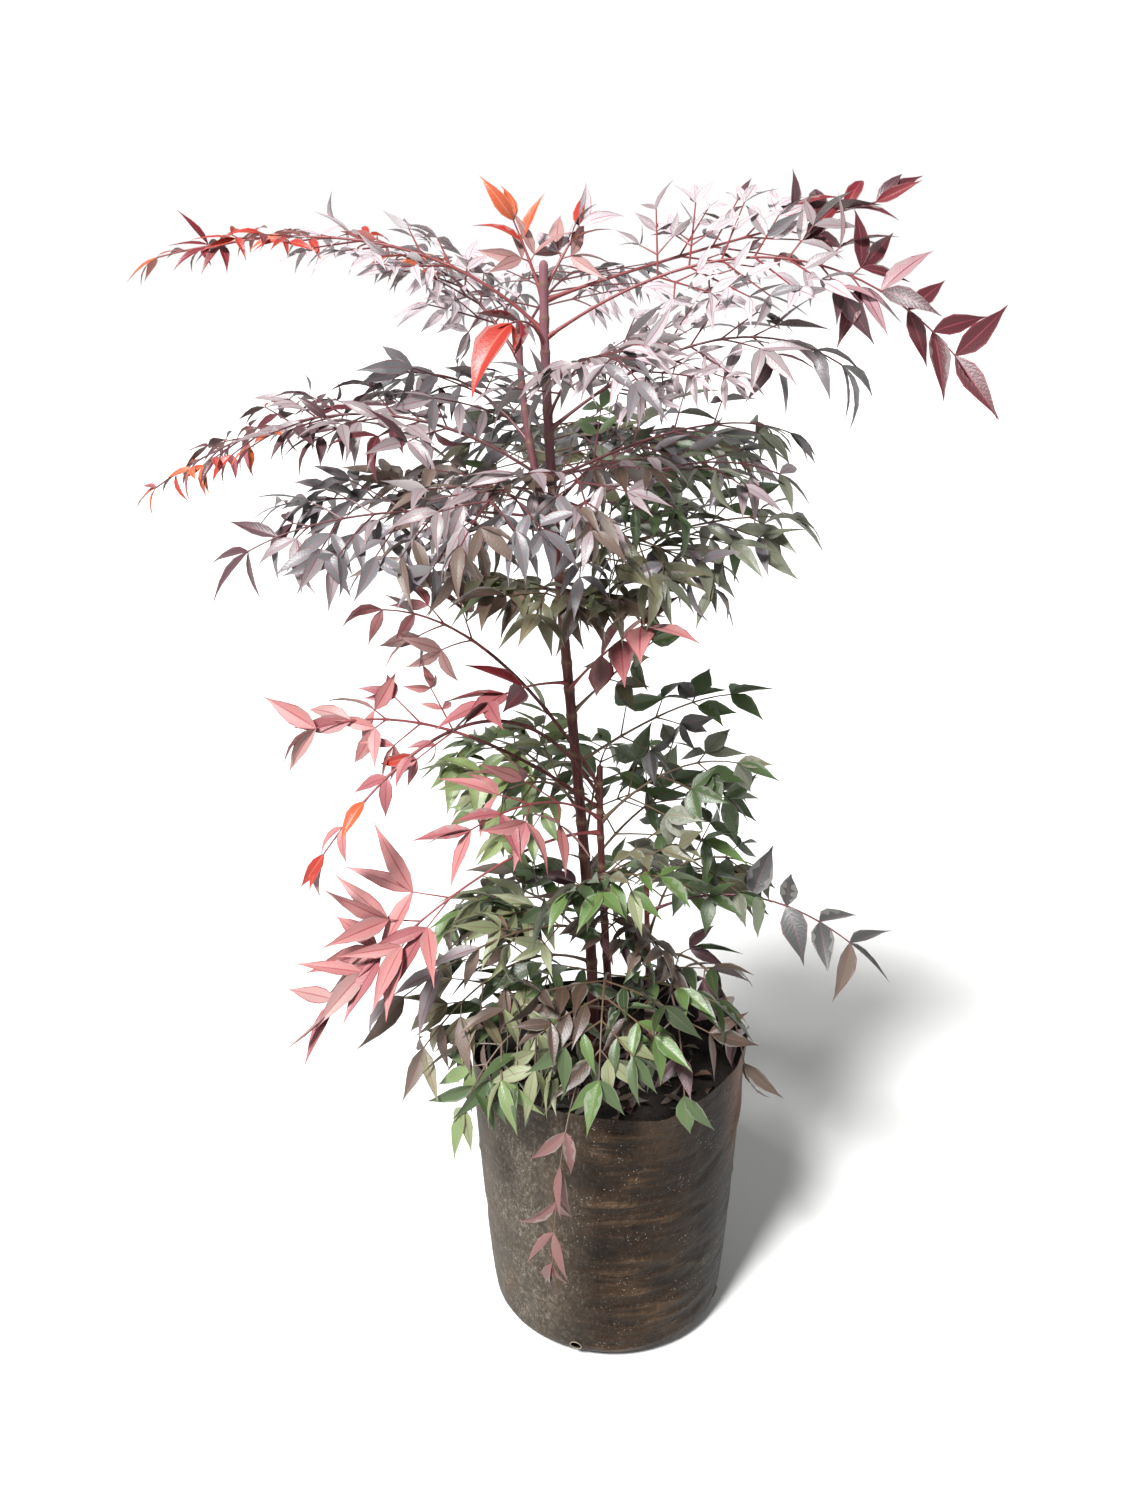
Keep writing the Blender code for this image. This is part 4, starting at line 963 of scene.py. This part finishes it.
def pierce(made, heading):
    """Cuts a drain hole through the film."""
    cutter = add_at_drain(bpy.ops.mesh.primitive_cylinder_add, heading, 0.0, vertices=20,
                          radius=DRAIN_RADIUS, depth=DRAIN_CUT)
    apply_modifier(made, "BOOLEAN", operation="DIFFERENCE", object=cutter, solver="EXACT")
    bpy.data.objects.remove(cutter, do_unlink=True)


def make_drain_rings(material):
    """The punched rim of each drain hole, turned out and paler where the film was stretched."""
    rings = [add_at_drain(bpy.ops.mesh.primitive_torus_add, heading, DRAIN_RING_LIFT,
                          major_radius=DRAIN_RADIUS + DRAIN_RING / 2, minor_radius=DRAIN_RING,
                          major_segments=24, minor_segments=8) for heading in DRAINS]
    choose(*rings)
    bpy.ops.object.join()
    made = bpy.context.object
    apply_transform(made)
    made.name = made.data.name = "drain_rings"
    shade(made, 60)
    hand_over(made, [material], "grow_bag_film", "bag")


# The soil


SOIL_SEGMENTS = 120
SOIL_TOP_RINGS = 34
SOIL_LOW = 0.0032
SOIL_ROWS = (0.006, 0.012, 0.026, 0.09, 0.17, 0.24, 0.262, 0.270)
SOIL_RISE = 0.005
SOIL_INSET = 0.0022
SOIL_SIDE_INSET = 0.0075
SOIL_DIP = 0.004
SOIL_HAIR = 0.0001
# Swells, lumps and crumbs: how many to the metre, where each sort starts, and how high it is
SOIL_LUMPS = ((22, 1.3, 0.0040), (75, 4.1, 0.0026), (210, 9.7, 0.0012))
# The rise round the canes: its height, its middle to the right, and its spread
SOIL_MOUND = (0.006, 0.012, 0.0022)


def soil_height(x, y):
    """The soil's top: low swells, crumbs and a slight rise round the canes."""
    height = SOIL_TOP - SOIL_DIP
    for many, start, size in SOIL_LUMPS:
        height += noise.noise(Vector((x * many, y * many, start))) * size
    rise, middle, spread = SOIL_MOUND
    return height + rise * math.exp(-((x - middle) ** 2 + y * y) / spread)


def make_soil(material):
    """A disc of soil carried up inside the film, inset to a fine top and raised into clods."""
    start = float(bag_radius(SOIL_LOW)) - SOIL_SIDE_INSET
    made = start_from(bpy.ops.mesh.primitive_circle_add, vertices=SOIL_SEGMENTS, radius=start,
                      fill_type="NGON", location=(0, 0, SOIL_LOW))
    rings = []
    for row in SOIL_ROWS + (SOIL_TOP,):
        inset = SOIL_SIDE_INSET if row < SOIL_TOP - SOIL_RISE else SOIL_INSET
        rings.append((row, float(bag_radius(row)) - inset))
    step = carry_up(SOIL_LOW, start, rings) / (SOIL_TOP_RINGS + 1)
    for _ in range(SOIL_TOP_RINGS):
        bpy.ops.mesh.inset(thickness=step, depth=0.0)
    turn_outwards()
    stop_editing(made, "soil_ball")
    apply_transform(made)
    places = vertex_places(made)
    turn = np.arctan2(places[:, 1], places[:, 0])
    grown = 1 + bag_dent(turn, places[:, 2])
    places[:, 0] = places[:, 0] * grown + bag_shift(places[:, 2])
    places[:, 1] *= grown * BAG_DEPTH_SHARE
    top = places[:, 2] > SOIL_TOP - SOIL_HAIR
    places[top, 2] = [soil_height(x, y) for x, y in places[top, :2]]
    move_vertices(made, places)
    shade(made, 60)
    hand_over(made, [material], "soil", "soil")


# Canes


def cane_foot(cane):
    if cane.foot is None:
        return cane_point(CANES[MAIN], SHOOT_HEIGHT)
    return np.array((cane.foot[0], cane.foot[1], SOIL_TOP))


def cane_point(cane, height):
    """Middle of a cane at a height: a cane leaves the soil upright, leans over and ends upright, and a
    side shoot leaves its cane at a slant and turns up."""
    foot = cane_foot(cane)
    share = (height - foot[2]) / (cane.top[2] - foot[2])
    if cane.foot:
        share = max(share, 0.0)
    shift = share * share * (3 - 2 * share) if cane.foot else math.sin(share * math.pi / 2)
    across = foot[0] + (cane.top[0] - foot[0]) * shift
    back = foot[1] + (cane.top[1] - foot[1]) * shift
    return np.array((across, back, height))


def cane_radius(cane, height):
    foot = cane_foot(cane)
    share = (height - foot[2]) / (cane.top[2] - foot[2])
    radius = cane.foot_radius + (cane.tip_radius - cane.foot_radius) * share
    if cane.foot is None:
        return radius
    return radius * (1 + FLARE_SHARE * math.exp(-max(height - foot[2], 0.0) / FLARE_HEIGHT))


def node_heights(cane, rng):
    """Where old leaves left their rings: closer together towards the tip."""
    heights = []
    height = cane_foot(cane)[2] + CANE_NODE_GAP * rng.uniform(*CANE_NODE_FIRST)
    while height < cane.top[2] - CANE_BARE_TIP:
        heights.append(height)
        share = height / cane.top[2]
        height += CANE_NODE_GAP * rng.uniform(*CANE_NODE_STRAY) * (CANE_NODE_LOW - CANE_NODE_CLOSING * share)
    return heights


def make_cane(cane, number, material):
    """A disc carried up ring by ring along a cane's line, swollen below each leaf scar, and capped round."""
    rng = np.random.default_rng(CANE_SEED + number)
    nodes = np.array(node_heights(cane, rng))
    low = cane_foot(cane)[2] - (CANE_SUNK if cane.foot else 0.0)
    count = round((cane.top[2] - low) / CANE_STEP)
    heights = list(np.linspace(low, cane.top[2], count + 1))
    heights = sorted(heights + [node + shift for node in nodes for shift in SCAR_RINGS])
    radii = [swollen_radius(cane, height, nodes) for height in heights]
    for share, narrow in CANE_CAP:
        heights.append(cane.top[2] + cane.tip_radius * share)
        radii.append(cane.tip_radius * narrow)
    middle = cane_point(cane, heights[0])
    made = start_from(bpy.ops.mesh.primitive_circle_add, vertices=CANE_SIDES, radius=radii[0],
                      fill_type="NGON", location=tuple(middle))
    bpy.ops.mesh.flip_normals()
    for height, radius, last in zip(heights[1:], radii[1:], radii):
        ahead = cane_point(cane, min(height, cane.top[2]))
        ahead[2] = height
        extrude_ring(tuple(ahead - middle), radius / last, tuple(ahead))
        middle = ahead
    turn_outwards()
    stop_editing(made, cane.name + "_bark")
    apply_transform(made)
    places = vertex_places(made)
    worn = np.zeros(len(places))
    for node in nodes:
        worn = np.maximum(worn, np.exp(-((places[:, 2] - node) / SCAR_REACH) ** 2))
    add_attribute(made, "worn", worn)
    shade(made, 55)
    hand_over(made, [material], "cane_bark", cane.name)


def swollen_radius(cane, height, nodes):
    """A cane's radius with a swelling under each leaf scar and a small step down above it."""
    below = nodes - height
    rise = np.exp(-(below / np.where(below >= 0, CANE_NODE_BELOW, CANE_NODE_ABOVE)) ** 2)
    return cane_radius(cane, height) * (1 + CANE_NODE_SWELL * rise.max(initial=0.0))


# Ribs and twigs


class Rib:
    """A curve whose places are given by their distance from its foot."""

    def __init__(self, points):
        self.points = np.asarray(points)
        steps = np.linalg.norm(np.diff(self.points, axis=0), axis=1)
        self.reached = np.concatenate(((0.0,), np.cumsum(steps)))
        self.length = self.reached[-1]

    def at(self, distance):
        places = [np.interp(distance, self.reached, self.points[:, axis]) for axis in range(3)]
        return np.stack(places, axis=-1)

    def ahead(self, distance):
        step = self.length / RIB_LOOKS
        after = self.at(np.minimum(distance + step, self.length))
        return unit(after - self.at(np.maximum(distance - step, 0.0)))


def frond_rib(frond):
    """The bowed middle line of a frond, from the middle of its cane to its tip."""
    turn = math.radians(frond.heading)
    out = np.array((math.cos(turn), math.sin(turn), 0.0))
    foot = cane_point(CANES[frond.cane], frond.height)
    tip = foot + out * frond.reach + UP * frond.lift
    over = foot + out * frond.reach * frond.lead + UP * (frond.lift * frond.lead + 2 * frond.arch)
    share = np.linspace(0, 1, RIB_POINTS)[:, None]
    return Rib((1 - share) ** 2 * foot + 2 * share * (1 - share) * over + share ** 2 * tip)


def tube(rib, distances, radii, sides):
    """A round closed tube along a rib, with a radius at each distance."""
    ahead = rib.ahead(distances)
    steady = np.eye(3)[np.argmin(np.abs(ahead.mean(axis=0)))]
    side = unit(np.cross(steady, ahead))
    over = np.cross(ahead, side)
    turns = 2 * math.pi * np.arange(sides) / sides
    across = side[:, None] * np.cos(turns)[:, None] + over[:, None] * np.sin(turns)[:, None]
    points = (rib.at(distances)[:, None] + across * np.asarray(radii)[:, None, None]).reshape(-1, 3)
    faces = [tuple(reversed(range(sides)))]
    for ring in range(len(distances) - 1):
        for place in range(sides):
            a = ring * sides + place
            b = ring * sides + (place + 1) % sides
            faces.append((a, b, b + sides, a + sides))
    last = (len(distances) - 1) * sides
    faces.append(tuple(range(last, last + sides)))
    return points, faces, [0] * len(faces)


def limb_rings(start, end, radius, tip_radius, nodes, step):
    """The distances and radii of a tapering rib or twig that swells a little at its nodes."""
    count = max(3, round((end - start) / step))
    distances = list(np.linspace(start, end, count + 1))
    near = [node + shift for node in nodes for shift in (-NODE_REACH, 0, NODE_REACH)]
    distances = np.array(sorted(distances + [place for place in near if start < place < end]))
    share = (distances - start) / (end - start)
    radii = radius + (tip_radius - radius) * share
    if len(nodes):
        apart = np.abs(distances[:, None] - np.asarray(nodes)[None, :]).min(axis=1)
        radii = radii * (1 + NODE_SWELL * np.exp(-(apart / NODE_REACH) ** 2))
    return distances, radii


# Leaves


Leaf = namedtuple("Leaf", "root ahead face length")
# How the twigs of a spray grow: the room between leaflet pairs, and the fall and the turns of the leaflets
Habit = namedtuple("Habit", "gap droop turns")


def aim_leaf(root, ahead, face, length, droop, rng):
    """A leaflet that sets off ahead, falls by the droop and is turned a little by chance."""
    ahead = unit(ahead - UP * droop * LEAF_FALL + rng.normal(0, LEAF_STRAY, 3))
    face = unit(face + rng.normal(0, LEAF_ROLL, 3))
    face = unit(face - ahead * face.dot(ahead))
    return Leaf(root, ahead, face, length * rng.uniform(*LEAF_LENGTHS))


def leaf_faces():
    """The faces of one leaflet, and the kind of each."""
    lines = len(LEAF_LINES)
    row = lines + 1
    rows = len(LEAF_PLACES)
    tip = rows * row
    strips = (MARGIN, BLADE, MARGIN, BLADE, MARGIN)
    faces = [tuple(range(row - 1, -1, -1))]
    kinds = [UNDERSIDE]
    for step in range(rows - 1):
        a = step * row
        b = a + row
        for line, kind in enumerate(strips):
            faces.append((a + line, a + line + 1, b + line + 1, b + line))
            kinds.append(kind)
        faces += [(a + lines, a, b, b + lines), (a + lines - 1, a + lines, b + lines, b + lines - 1)]
        kinds += [UNDERSIDE, UNDERSIDE]
    a = (rows - 1) * row
    for line, kind in enumerate(strips):
        faces.append((a + line, a + line + 1, tip))
        kinds.append(kind)
    faces += [(a + lines, a, tip), (a + lines - 1, a + lines, tip)]
    kinds += [UNDERSIDE, UNDERSIDE]
    return faces, kinds


def leaf_map_places():
    """Where each point of a leaflet lies on its map: across it, then along it."""
    places = []
    for along, wide in LEAF_PLACES:
        places += [(0.5 + 0.5 * line * wide, along) for line in LEAF_LINES]
        places.append((0.5, along))
    return np.array(places + [(0.5, 1.0)])


def leaf_points(leaf, half_widths, bends, rng):
    """The points of one leaflet: each row's lines and its underside, then the tip."""
    right = np.cross(leaf.ahead, leaf.face)
    half = leaf.length * rng.uniform(*half_widths)
    fold = rng.uniform(*LEAF_FOLD)
    bend = rng.uniform(*bends)
    sway = rng.normal(0, LEAF_SWAY)
    twist = rng.normal(0, LEAF_TWIST)
    thick = leaf.length * LEAF_THICKNESS
    along = np.array([place for place, _ in LEAF_PLACES])
    wide = np.array([share for _, share in LEAF_PLACES]) * half
    lines = np.array(LEAF_LINES)
    across = wide[:, None] * lines[None, :]
    cupped = np.abs(lines) ** LEAF_CUP
    above = fold * wide[:, None] * cupped[None, :]
    across = np.hstack((across, np.zeros((len(along), 1))))
    above = np.hstack((above, np.full((len(along), 1), -thick)))
    roll = twist * along[:, None]
    turned = across * np.cos(roll) - above * np.sin(roll)
    raised = across * np.sin(roll) + above * np.cos(roll)
    along = np.append(np.repeat(along, len(lines) + 1), 1.0)
    turned = np.append(turned.ravel(), 0.0) + sway * leaf.length * along ** 2
    raised = np.append(raised.ravel(), 0.0)
    arc = bend * along
    forward = leaf.length * np.sin(arc) / bend + raised * np.sin(arc)
    level = raised * np.cos(arc) - leaf.length * (1 - np.cos(arc)) / bend
    return (leaf.root + turned[:, None] * right + forward[:, None] * leaf.ahead
            + level[:, None] * leaf.face)


# Growing a frond


class Spray:
    """A pinna with its side twigs: the tubes of its twigs, and its leaflets."""

    def __init__(self, share):
        self.share = share
        self.twigs = []
        self.leaves = []


def grow_twig(spray, root, ahead, face, length, leaf, habit, rng, forks):
    """A twig with leaflets in pairs and a last one. Where it forks, its inner pairs are side twigs."""
    stem = length - leaf
    sag = TWIG_SAG * max(habit.droop, 0)
    twig = Rib([root + ahead * stem * share - UP * sag * stem * share * share
                for share in np.linspace(0, 1, TWIG_POINTS)])
    count = max(1, round(stem / habit.gap))
    nodes = [twig.length * node / count for node in range(1, count + 1)]
    spray.twigs.append((twig, nodes))
    for along in nodes:
        on = twig.ahead(along)
        side = unit(np.cross(face, on))
        for hand in (-1, 1):
            turn = math.radians(rng.uniform(*habit.turns))
            away = on * math.cos(turn) + side * hand * math.sin(turn)
            if forks and twig.length - along > SIDE_SPRAY_ROOM * leaf:
                grow_twig(spray, twig.at(along), away, face, SIDE_SPRAY_SHARE * leaf, leaf * TWIG_NODE_SHARE,
                          habit, rng, False)
            else:
                spray.leaves.append(aim_leaf(twig.at(along), away, face, leaf, habit.droop, rng))
    end = twig.length
    spray.leaves.append(aim_leaf(twig.at(end), twig.ahead(end), face, leaf * TWIG_LAST_LEAF,
                                 habit.droop * PINNA_TIP_DROOP, rng))


def by_frond(values, frond, usual):
    """What a table holds for a frond's name, or else for its colour."""
    return values.get(frond.name, values.get(frond.tint, usual))


def share_along(shares, gone):
    """The share at a place along a line on which the shares are evenly spaced."""
    return float(np.interp(gone, np.linspace(0, 1, len(shares)), shares))


def leaf_length(frond):
    """How long a frond's leaflets are."""
    return frond.leaf * LEAF_SHARE * by_frond(LEAF_SIZES, frond, 1.0)


def frond_gap(frond):
    """How far apart a frond's leaflet pairs stand."""
    return NODE_GAP * by_frond(NODE_GAPS, frond, 1.0)


def grow_frond(frond, rib, rng):
    """The sprays of a frond, in opposite pairs from its stalk on, its last leaflet, and its nodes."""
    leaf = leaf_length(frond)
    turns = by_frond(LEAF_TURNS, frond, LEAF_TURN)
    last_share = LAST_LEAVES.get(frond.name, 1.0)
    end = rib.length - leaf * last_share
    first = min(rib.length * frond.stalk, end * LAST_START)
    count = max(1, round((end - first) / frond_gap(frond)))
    sprays = []
    nodes = []
    for node in range(count + 1):
        gone = node / count
        along = first + (end - first) * gone
        nodes.append(along)
        on = rib.ahead(along)
        side = unit(np.cross(UP + FRONT * frond.lean, on))
        face = unit(np.cross(on, side))
        size = frond.spread * (1 - gone ** 2) ** FULLNESS
        grown = leaf * share_along(by_frond(LEAF_GROWTHS, frond, (1.0, 1.0)), gone)
        for hand in (-1, 1):
            turn = PINNA_TURNS.get(frond.name, PINNA_TURN) - PINNA_CLOSING * gone
            turn += hand * PINNA_SKEWS.get(frond.name, 0)
            turn = math.radians(turn + rng.uniform(-PINNA_STRAY, PINNA_STRAY))
            away = on * math.cos(turn) + side * hand * math.sin(turn)
            away = unit(away + face * rng.uniform(*PINNA_RISE))
            spray = Spray(gone)
            if size > SPRAY_SHARE * grown:
                droop = frond.droop * rng.uniform(*SPRAY_DROOP)
                habit = Habit(frond_gap(frond) * TWIG_NODE_SHARE, droop, turns)
                grow_twig(spray, rib.at(along), away, face, size, grown, habit, rng, True)
            else:
                spray.leaves.append(aim_leaf(rib.at(along), away, face, grown, frond.droop, rng))
            sprays.append(spray)
    last = Spray(1.0)
    last.leaves.append(aim_leaf(rib.at(end), rib.ahead(end), face, leaf * LAST_LEAF * last_share,
                                frond.droop * FROND_TIP_DROOP, rng))
    return sprays + [last], nodes


# Keeping clear of the bag, the soil and the canes

BOX_SLACK = 0.002
WALL_ROOM = 0.003
SOIL_ROOM = 0.006
CANE_ROOM = 0.0008


def is_free(points):
    """True if the points keep inside the model's box and clear of the film, the soil and the canes."""
    low, high = (np.array(corner) for corner in CAD_BOX)
    if (points < low - BOX_SLACK).any() or (points > high + BOX_SLACK).any():
        return False
    height = points[:, 2]
    if height.min() < BAG_HEIGHT + WALL_ROOM * 3:
        across = points[:, 0] - bag_shift(height)
        turn = np.arctan2(points[:, 1] / BAG_DEPTH_SHARE, across)
        reach = np.hypot(across, points[:, 1] / BAG_DEPTH_SHARE)
        wall = bag_radius(np.clip(height, 0, BAG_HEIGHT)) * (1 + bag_dent(turn, height))
        beside = height < BAG_HEIGHT + WALL_ROOM * 2
        at_wall = beside & (np.abs(reach - wall + BAG_FILM / 2) < WALL_ROOM + BAG_FILM / 2)
        in_soil = (reach < wall) & (height < SOIL_TOP + SOIL_ROOM)
        outside = reach[beside] > wall[beside]
        if at_wall.any() or in_soil.any() or (outside.any() and not outside.all()):
            return False
    for cane in CANES:
        foot = cane_foot(cane)[2]
        beside = (height > foot) & (height < cane.top[2])
        for point in points[beside]:
            middle = cane_point(cane, point[2])
            if np.hypot(*(point - middle)[:2]) < cane_radius(cane, point[2]) + CANE_ROOM:
                return False
    return True


def grown_shapes(frond, rng):
    """Each leaflet of a frond as its points and its tint, and the tubes of its rib and twigs."""
    rib = frond_rib(frond)
    sprays, nodes = grow_frond(frond, rib, rng)
    start = 0.0
    if frond.name in STALKED:
        start = rib.length * frond.stalk * STALK_SHARE
    leaves = []
    half_widths = by_frond(LEAF_HALF_WIDTHS, frond, LEAF_HALF_WIDTH)
    bends = by_frond(LEAF_BENDS, frond, LEAF_BEND)
    end = rib.length - leaf_length(frond) * LAST_LEAVES.get(frond.name, 1.0)
    distances, radii = limb_rings(start, end, RIB_RADIUS, RIB_TIP_RADIUS, nodes, RIB_STEP)
    radii = radii * THINNER.get(frond.name, 1.0)
    if not start:
        radii = radii * (1 + RIB_FOOT_SWELL * np.exp(-np.maximum(distances - RIB_FOOT, 0) / RIB_FOOT_LENGTH))
    twigs = [tube(rib, distances, radii, RIB_SIDES)]
    inner, outer = (words.split() for words in DEALT[frond.name])
    for spray in sprays:
        palette = outer if spray.share > OUTER_START else inner
        tint = rng.choice(palette)
        for twig, twig_nodes in spray.twigs:
            distances, radii = limb_rings(0.0, twig.length, TWIG_RADIUS, TWIG_TIP_RADIUS, twig_nodes,
                                          TWIG_STEP)
            twigs.append(tube(twig, distances, radii, TWIG_SIDES))
        for leaf in spray.leaves:
            points = leaf_points(leaf, half_widths, bends, rng)
            own = rng.choice(palette) if rng.random() < STRAY_LEAF_SHARE else tint
            if is_free(points):
                leaves.append((points, str(own)))
    return leaves, twigs


def make_leaves(name, leaves, slot, node):
    """One piece of many leaflets, each its points and its tint, with their map and their colours."""
    tints = sorted({tint for _, tint in leaves})
    faces, kinds = leaf_faces()
    shapes = []
    for points, tint in leaves:
        first = tints.index(tint) * 3
        shapes.append((points, faces, [first + kind for kind in kinds]))
    piece = join_shapes(name, shapes)
    corners = np.empty(len(piece.data.loops), dtype=int)
    piece.data.loops.foreach_get("vertex_index", corners)
    leaf_map = piece.data.uv_layers.new(name="leaf")
    places = np.tile(leaf_map_places(), (len(leaves), 1))[corners]
    leaf_map.data.foreach_set("uv", places.ravel())
    shade(piece, 75)
    hand_over(piece, [material for tint in tints for material in leaf_materials(tint)], slot, node)


def make_twigs(name, twigs, kind, slot, node):
    piece = join_shapes(name, twigs)
    shade(piece, 70)
    hand_over(piece, [twig_material(kind)], slot, node)


def make_frond(frond, number):
    """A frond's leaflets in one piece and its rib and twigs in another."""
    rng = np.random.default_rng(FIRST_SEED + number)
    leaves, twigs = grown_shapes(frond, rng)
    slot = "leaf_" + frond.tint
    node = "frond_" + frond.name
    make_leaves("leaves_" + frond.name, leaves, slot, node)
    kind = TWIG_OF_FROND.get(frond.name, TWIG_OF_TINT[frond.tint])
    make_twigs("twigs_" + frond.name, twigs, kind, slot, node)


# What has fallen on the soil

LITTER_SEED = 11
LITTER_LEAVES = 85
LITTER_TWIGS = 30
LITTER_REACH = 0.116
LITTER_OVERHANG = 0.005
LITTER_LENGTHS = (0.020, 0.042)
LITTER_TWIG_LENGTHS = (0.012, 0.04)
LITTER_TWIG_RADII = (0.0008, 0.0007, 0.0005)
LITTER_SLANT = 0.1
LITTER_TILT = 0.3
LITTER_SUNK = 0.5
LITTER_LIFT = 0.001
LITTER_TINTS = ("tan", "tan", "taupe", "dusk", "plum", "khaki", "charcoal")


def litter_spot(rng):
    """A place on the soil, and a nearly level way to lie."""
    turn, way = rng.uniform(0, 2 * math.pi, 2)
    reach = LITTER_REACH * math.sqrt(rng.uniform(0, 1))
    x, y = reach * math.cos(turn), reach * math.sin(turn) * BAG_DEPTH_SHARE
    ahead = np.array((math.cos(way), math.sin(way), rng.normal(0, LITTER_SLANT)))
    return np.array((x, y, soil_height(x, y))), ahead


def laid_down(points):
    """The points lifted or lowered until they lie in the soil's crumbs."""
    depths = [soil_height(x, y) - z for x, y, z in points]
    return points + UP * (max(depths) * LITTER_SUNK + LITTER_LIFT)


def is_inside(points):
    """True if the points keep inside the bag."""
    return np.hypot(points[:, 0], points[:, 1] / BAG_DEPTH_SHARE).max() < LITTER_REACH + LITTER_OVERHANG


def make_litter():
    """Fallen leaflets and bits of twig on the soil."""
    rng = np.random.default_rng(LITTER_SEED)
    leaves = []
    while len(leaves) < LITTER_LEAVES:
        root, ahead = litter_spot(rng)
        ahead = unit(ahead)
        face = unit(UP * rng.choice((-1, 1)) + rng.normal(0, LITTER_TILT, 3))
        face = unit(face - ahead * face.dot(ahead))
        leaf = Leaf(root, ahead, face, rng.uniform(*LITTER_LENGTHS))
        points = leaf_points(leaf, LEAF_HALF_WIDTH, LEAF_BEND, rng)
        if is_inside(points):
            leaves.append((laid_down(points), str(rng.choice(LITTER_TINTS))))
    make_leaves("litter_leaves", leaves, "soil", "soil")
    twigs = []
    while len(twigs) < LITTER_TWIGS:
        root, ahead = litter_spot(rng)
        rib = Rib([root, root + ahead * rng.uniform(*LITTER_TWIG_LENGTHS)])
        distances = np.linspace(0, rib.length, len(LITTER_TWIG_RADII))
        points, faces, kinds = tube(rib, distances, LITTER_TWIG_RADII, TWIG_SIDES)
        if is_inside(points):
            twigs.append((laid_down(points), faces, kinds))
    make_twigs("litter_twigs", twigs, "wine", "soil", "soil")


def make_stalk(frond, material):
    """The bare stalk bough of a frond."""
    rib = frond_rib(frond)
    end = rib.length * frond.stalk * STALK_SHARE
    distances, radii = limb_rings(0.0, end + STALK_LAP, STALK_RADIUS, STALK_TIP_RADIUS, [end * STALK_NODE],
                                  STALK_STEP)
    piece = join_shapes("stalk_" + frond.name + "_bark", [tube(rib, distances, radii, STALK_SIDES)])
    add_attribute(piece, "worn", np.zeros(len(piece.data.vertices)))
    shade(piece, 60)
    hand_over(piece, [material], "cane_bark", "stalk_" + frond.name)


# The studio


def make_studio():
    """A pale floor, a soft white surround, a soft key light from the upper left and the camera."""
    floor = add_primitive(bpy.ops.mesh.primitive_plane_add, size=FLOOR_SIZE, location=(0, 0, 0))
    floor.name = "studio_floor"
    floor.data.materials.append(plain_material("studio floor", FLOOR_COLOUR, 0.9))
    world = bpy.data.worlds.new("studio")
    bpy.context.scene.world = world
    world.use_nodes = True
    tree = world.node_tree
    height = axes_of(tree, add_node(tree, "ShaderNodeTexCoord").outputs["Generated"])["Z"]
    strength = ramp(tree, height, *HORIZON_BAND, 1.0, ZENITH_LIGHT)
    set_inputs(tree, tree.nodes["Background"], {"Color": (1.0, 1.0, 1.0, 1.0), "Strength": strength})
    lamp = bpy.data.lights.new("key", "SUN")
    lamp.energy = KEY_LIGHT
    lamp.angle = math.radians(KEY_ANGLE)
    add_object("key", lamp).rotation_euler = (math.radians(KEY_TILT), 0.0, math.radians(KEY_HEADING))
    lens = bpy.data.cameras.new("camera")
    lens.lens = CAMERA_LENS
    lens.sensor_width = CAMERA_SENSOR
    camera = add_object("camera", lens)
    camera.location = CAMERA_PLACE
    camera.rotation_euler = (math.radians(90 - CAMERA_PITCH), 0.0, 0.0)
    bpy.context.scene.camera = camera
    bpy.context.scene.view_settings.view_transform = "Standard"


def main():
    make_studio()
    bark = bark_material()
    make_bag(film_material(), inside_material())
    make_drain_rings(plain_material("stretched film", tone(STRETCHED_FILM), 0.5))
    make_soil(soil_material())
    make_litter()
    for number, cane in enumerate(CANES):
        make_cane(cane, number, bark)
    for number, frond in enumerate(FRONDS):
        if frond.name in STALKED:
            make_stalk(frond, bark)
        make_frond(frond, number)


main()
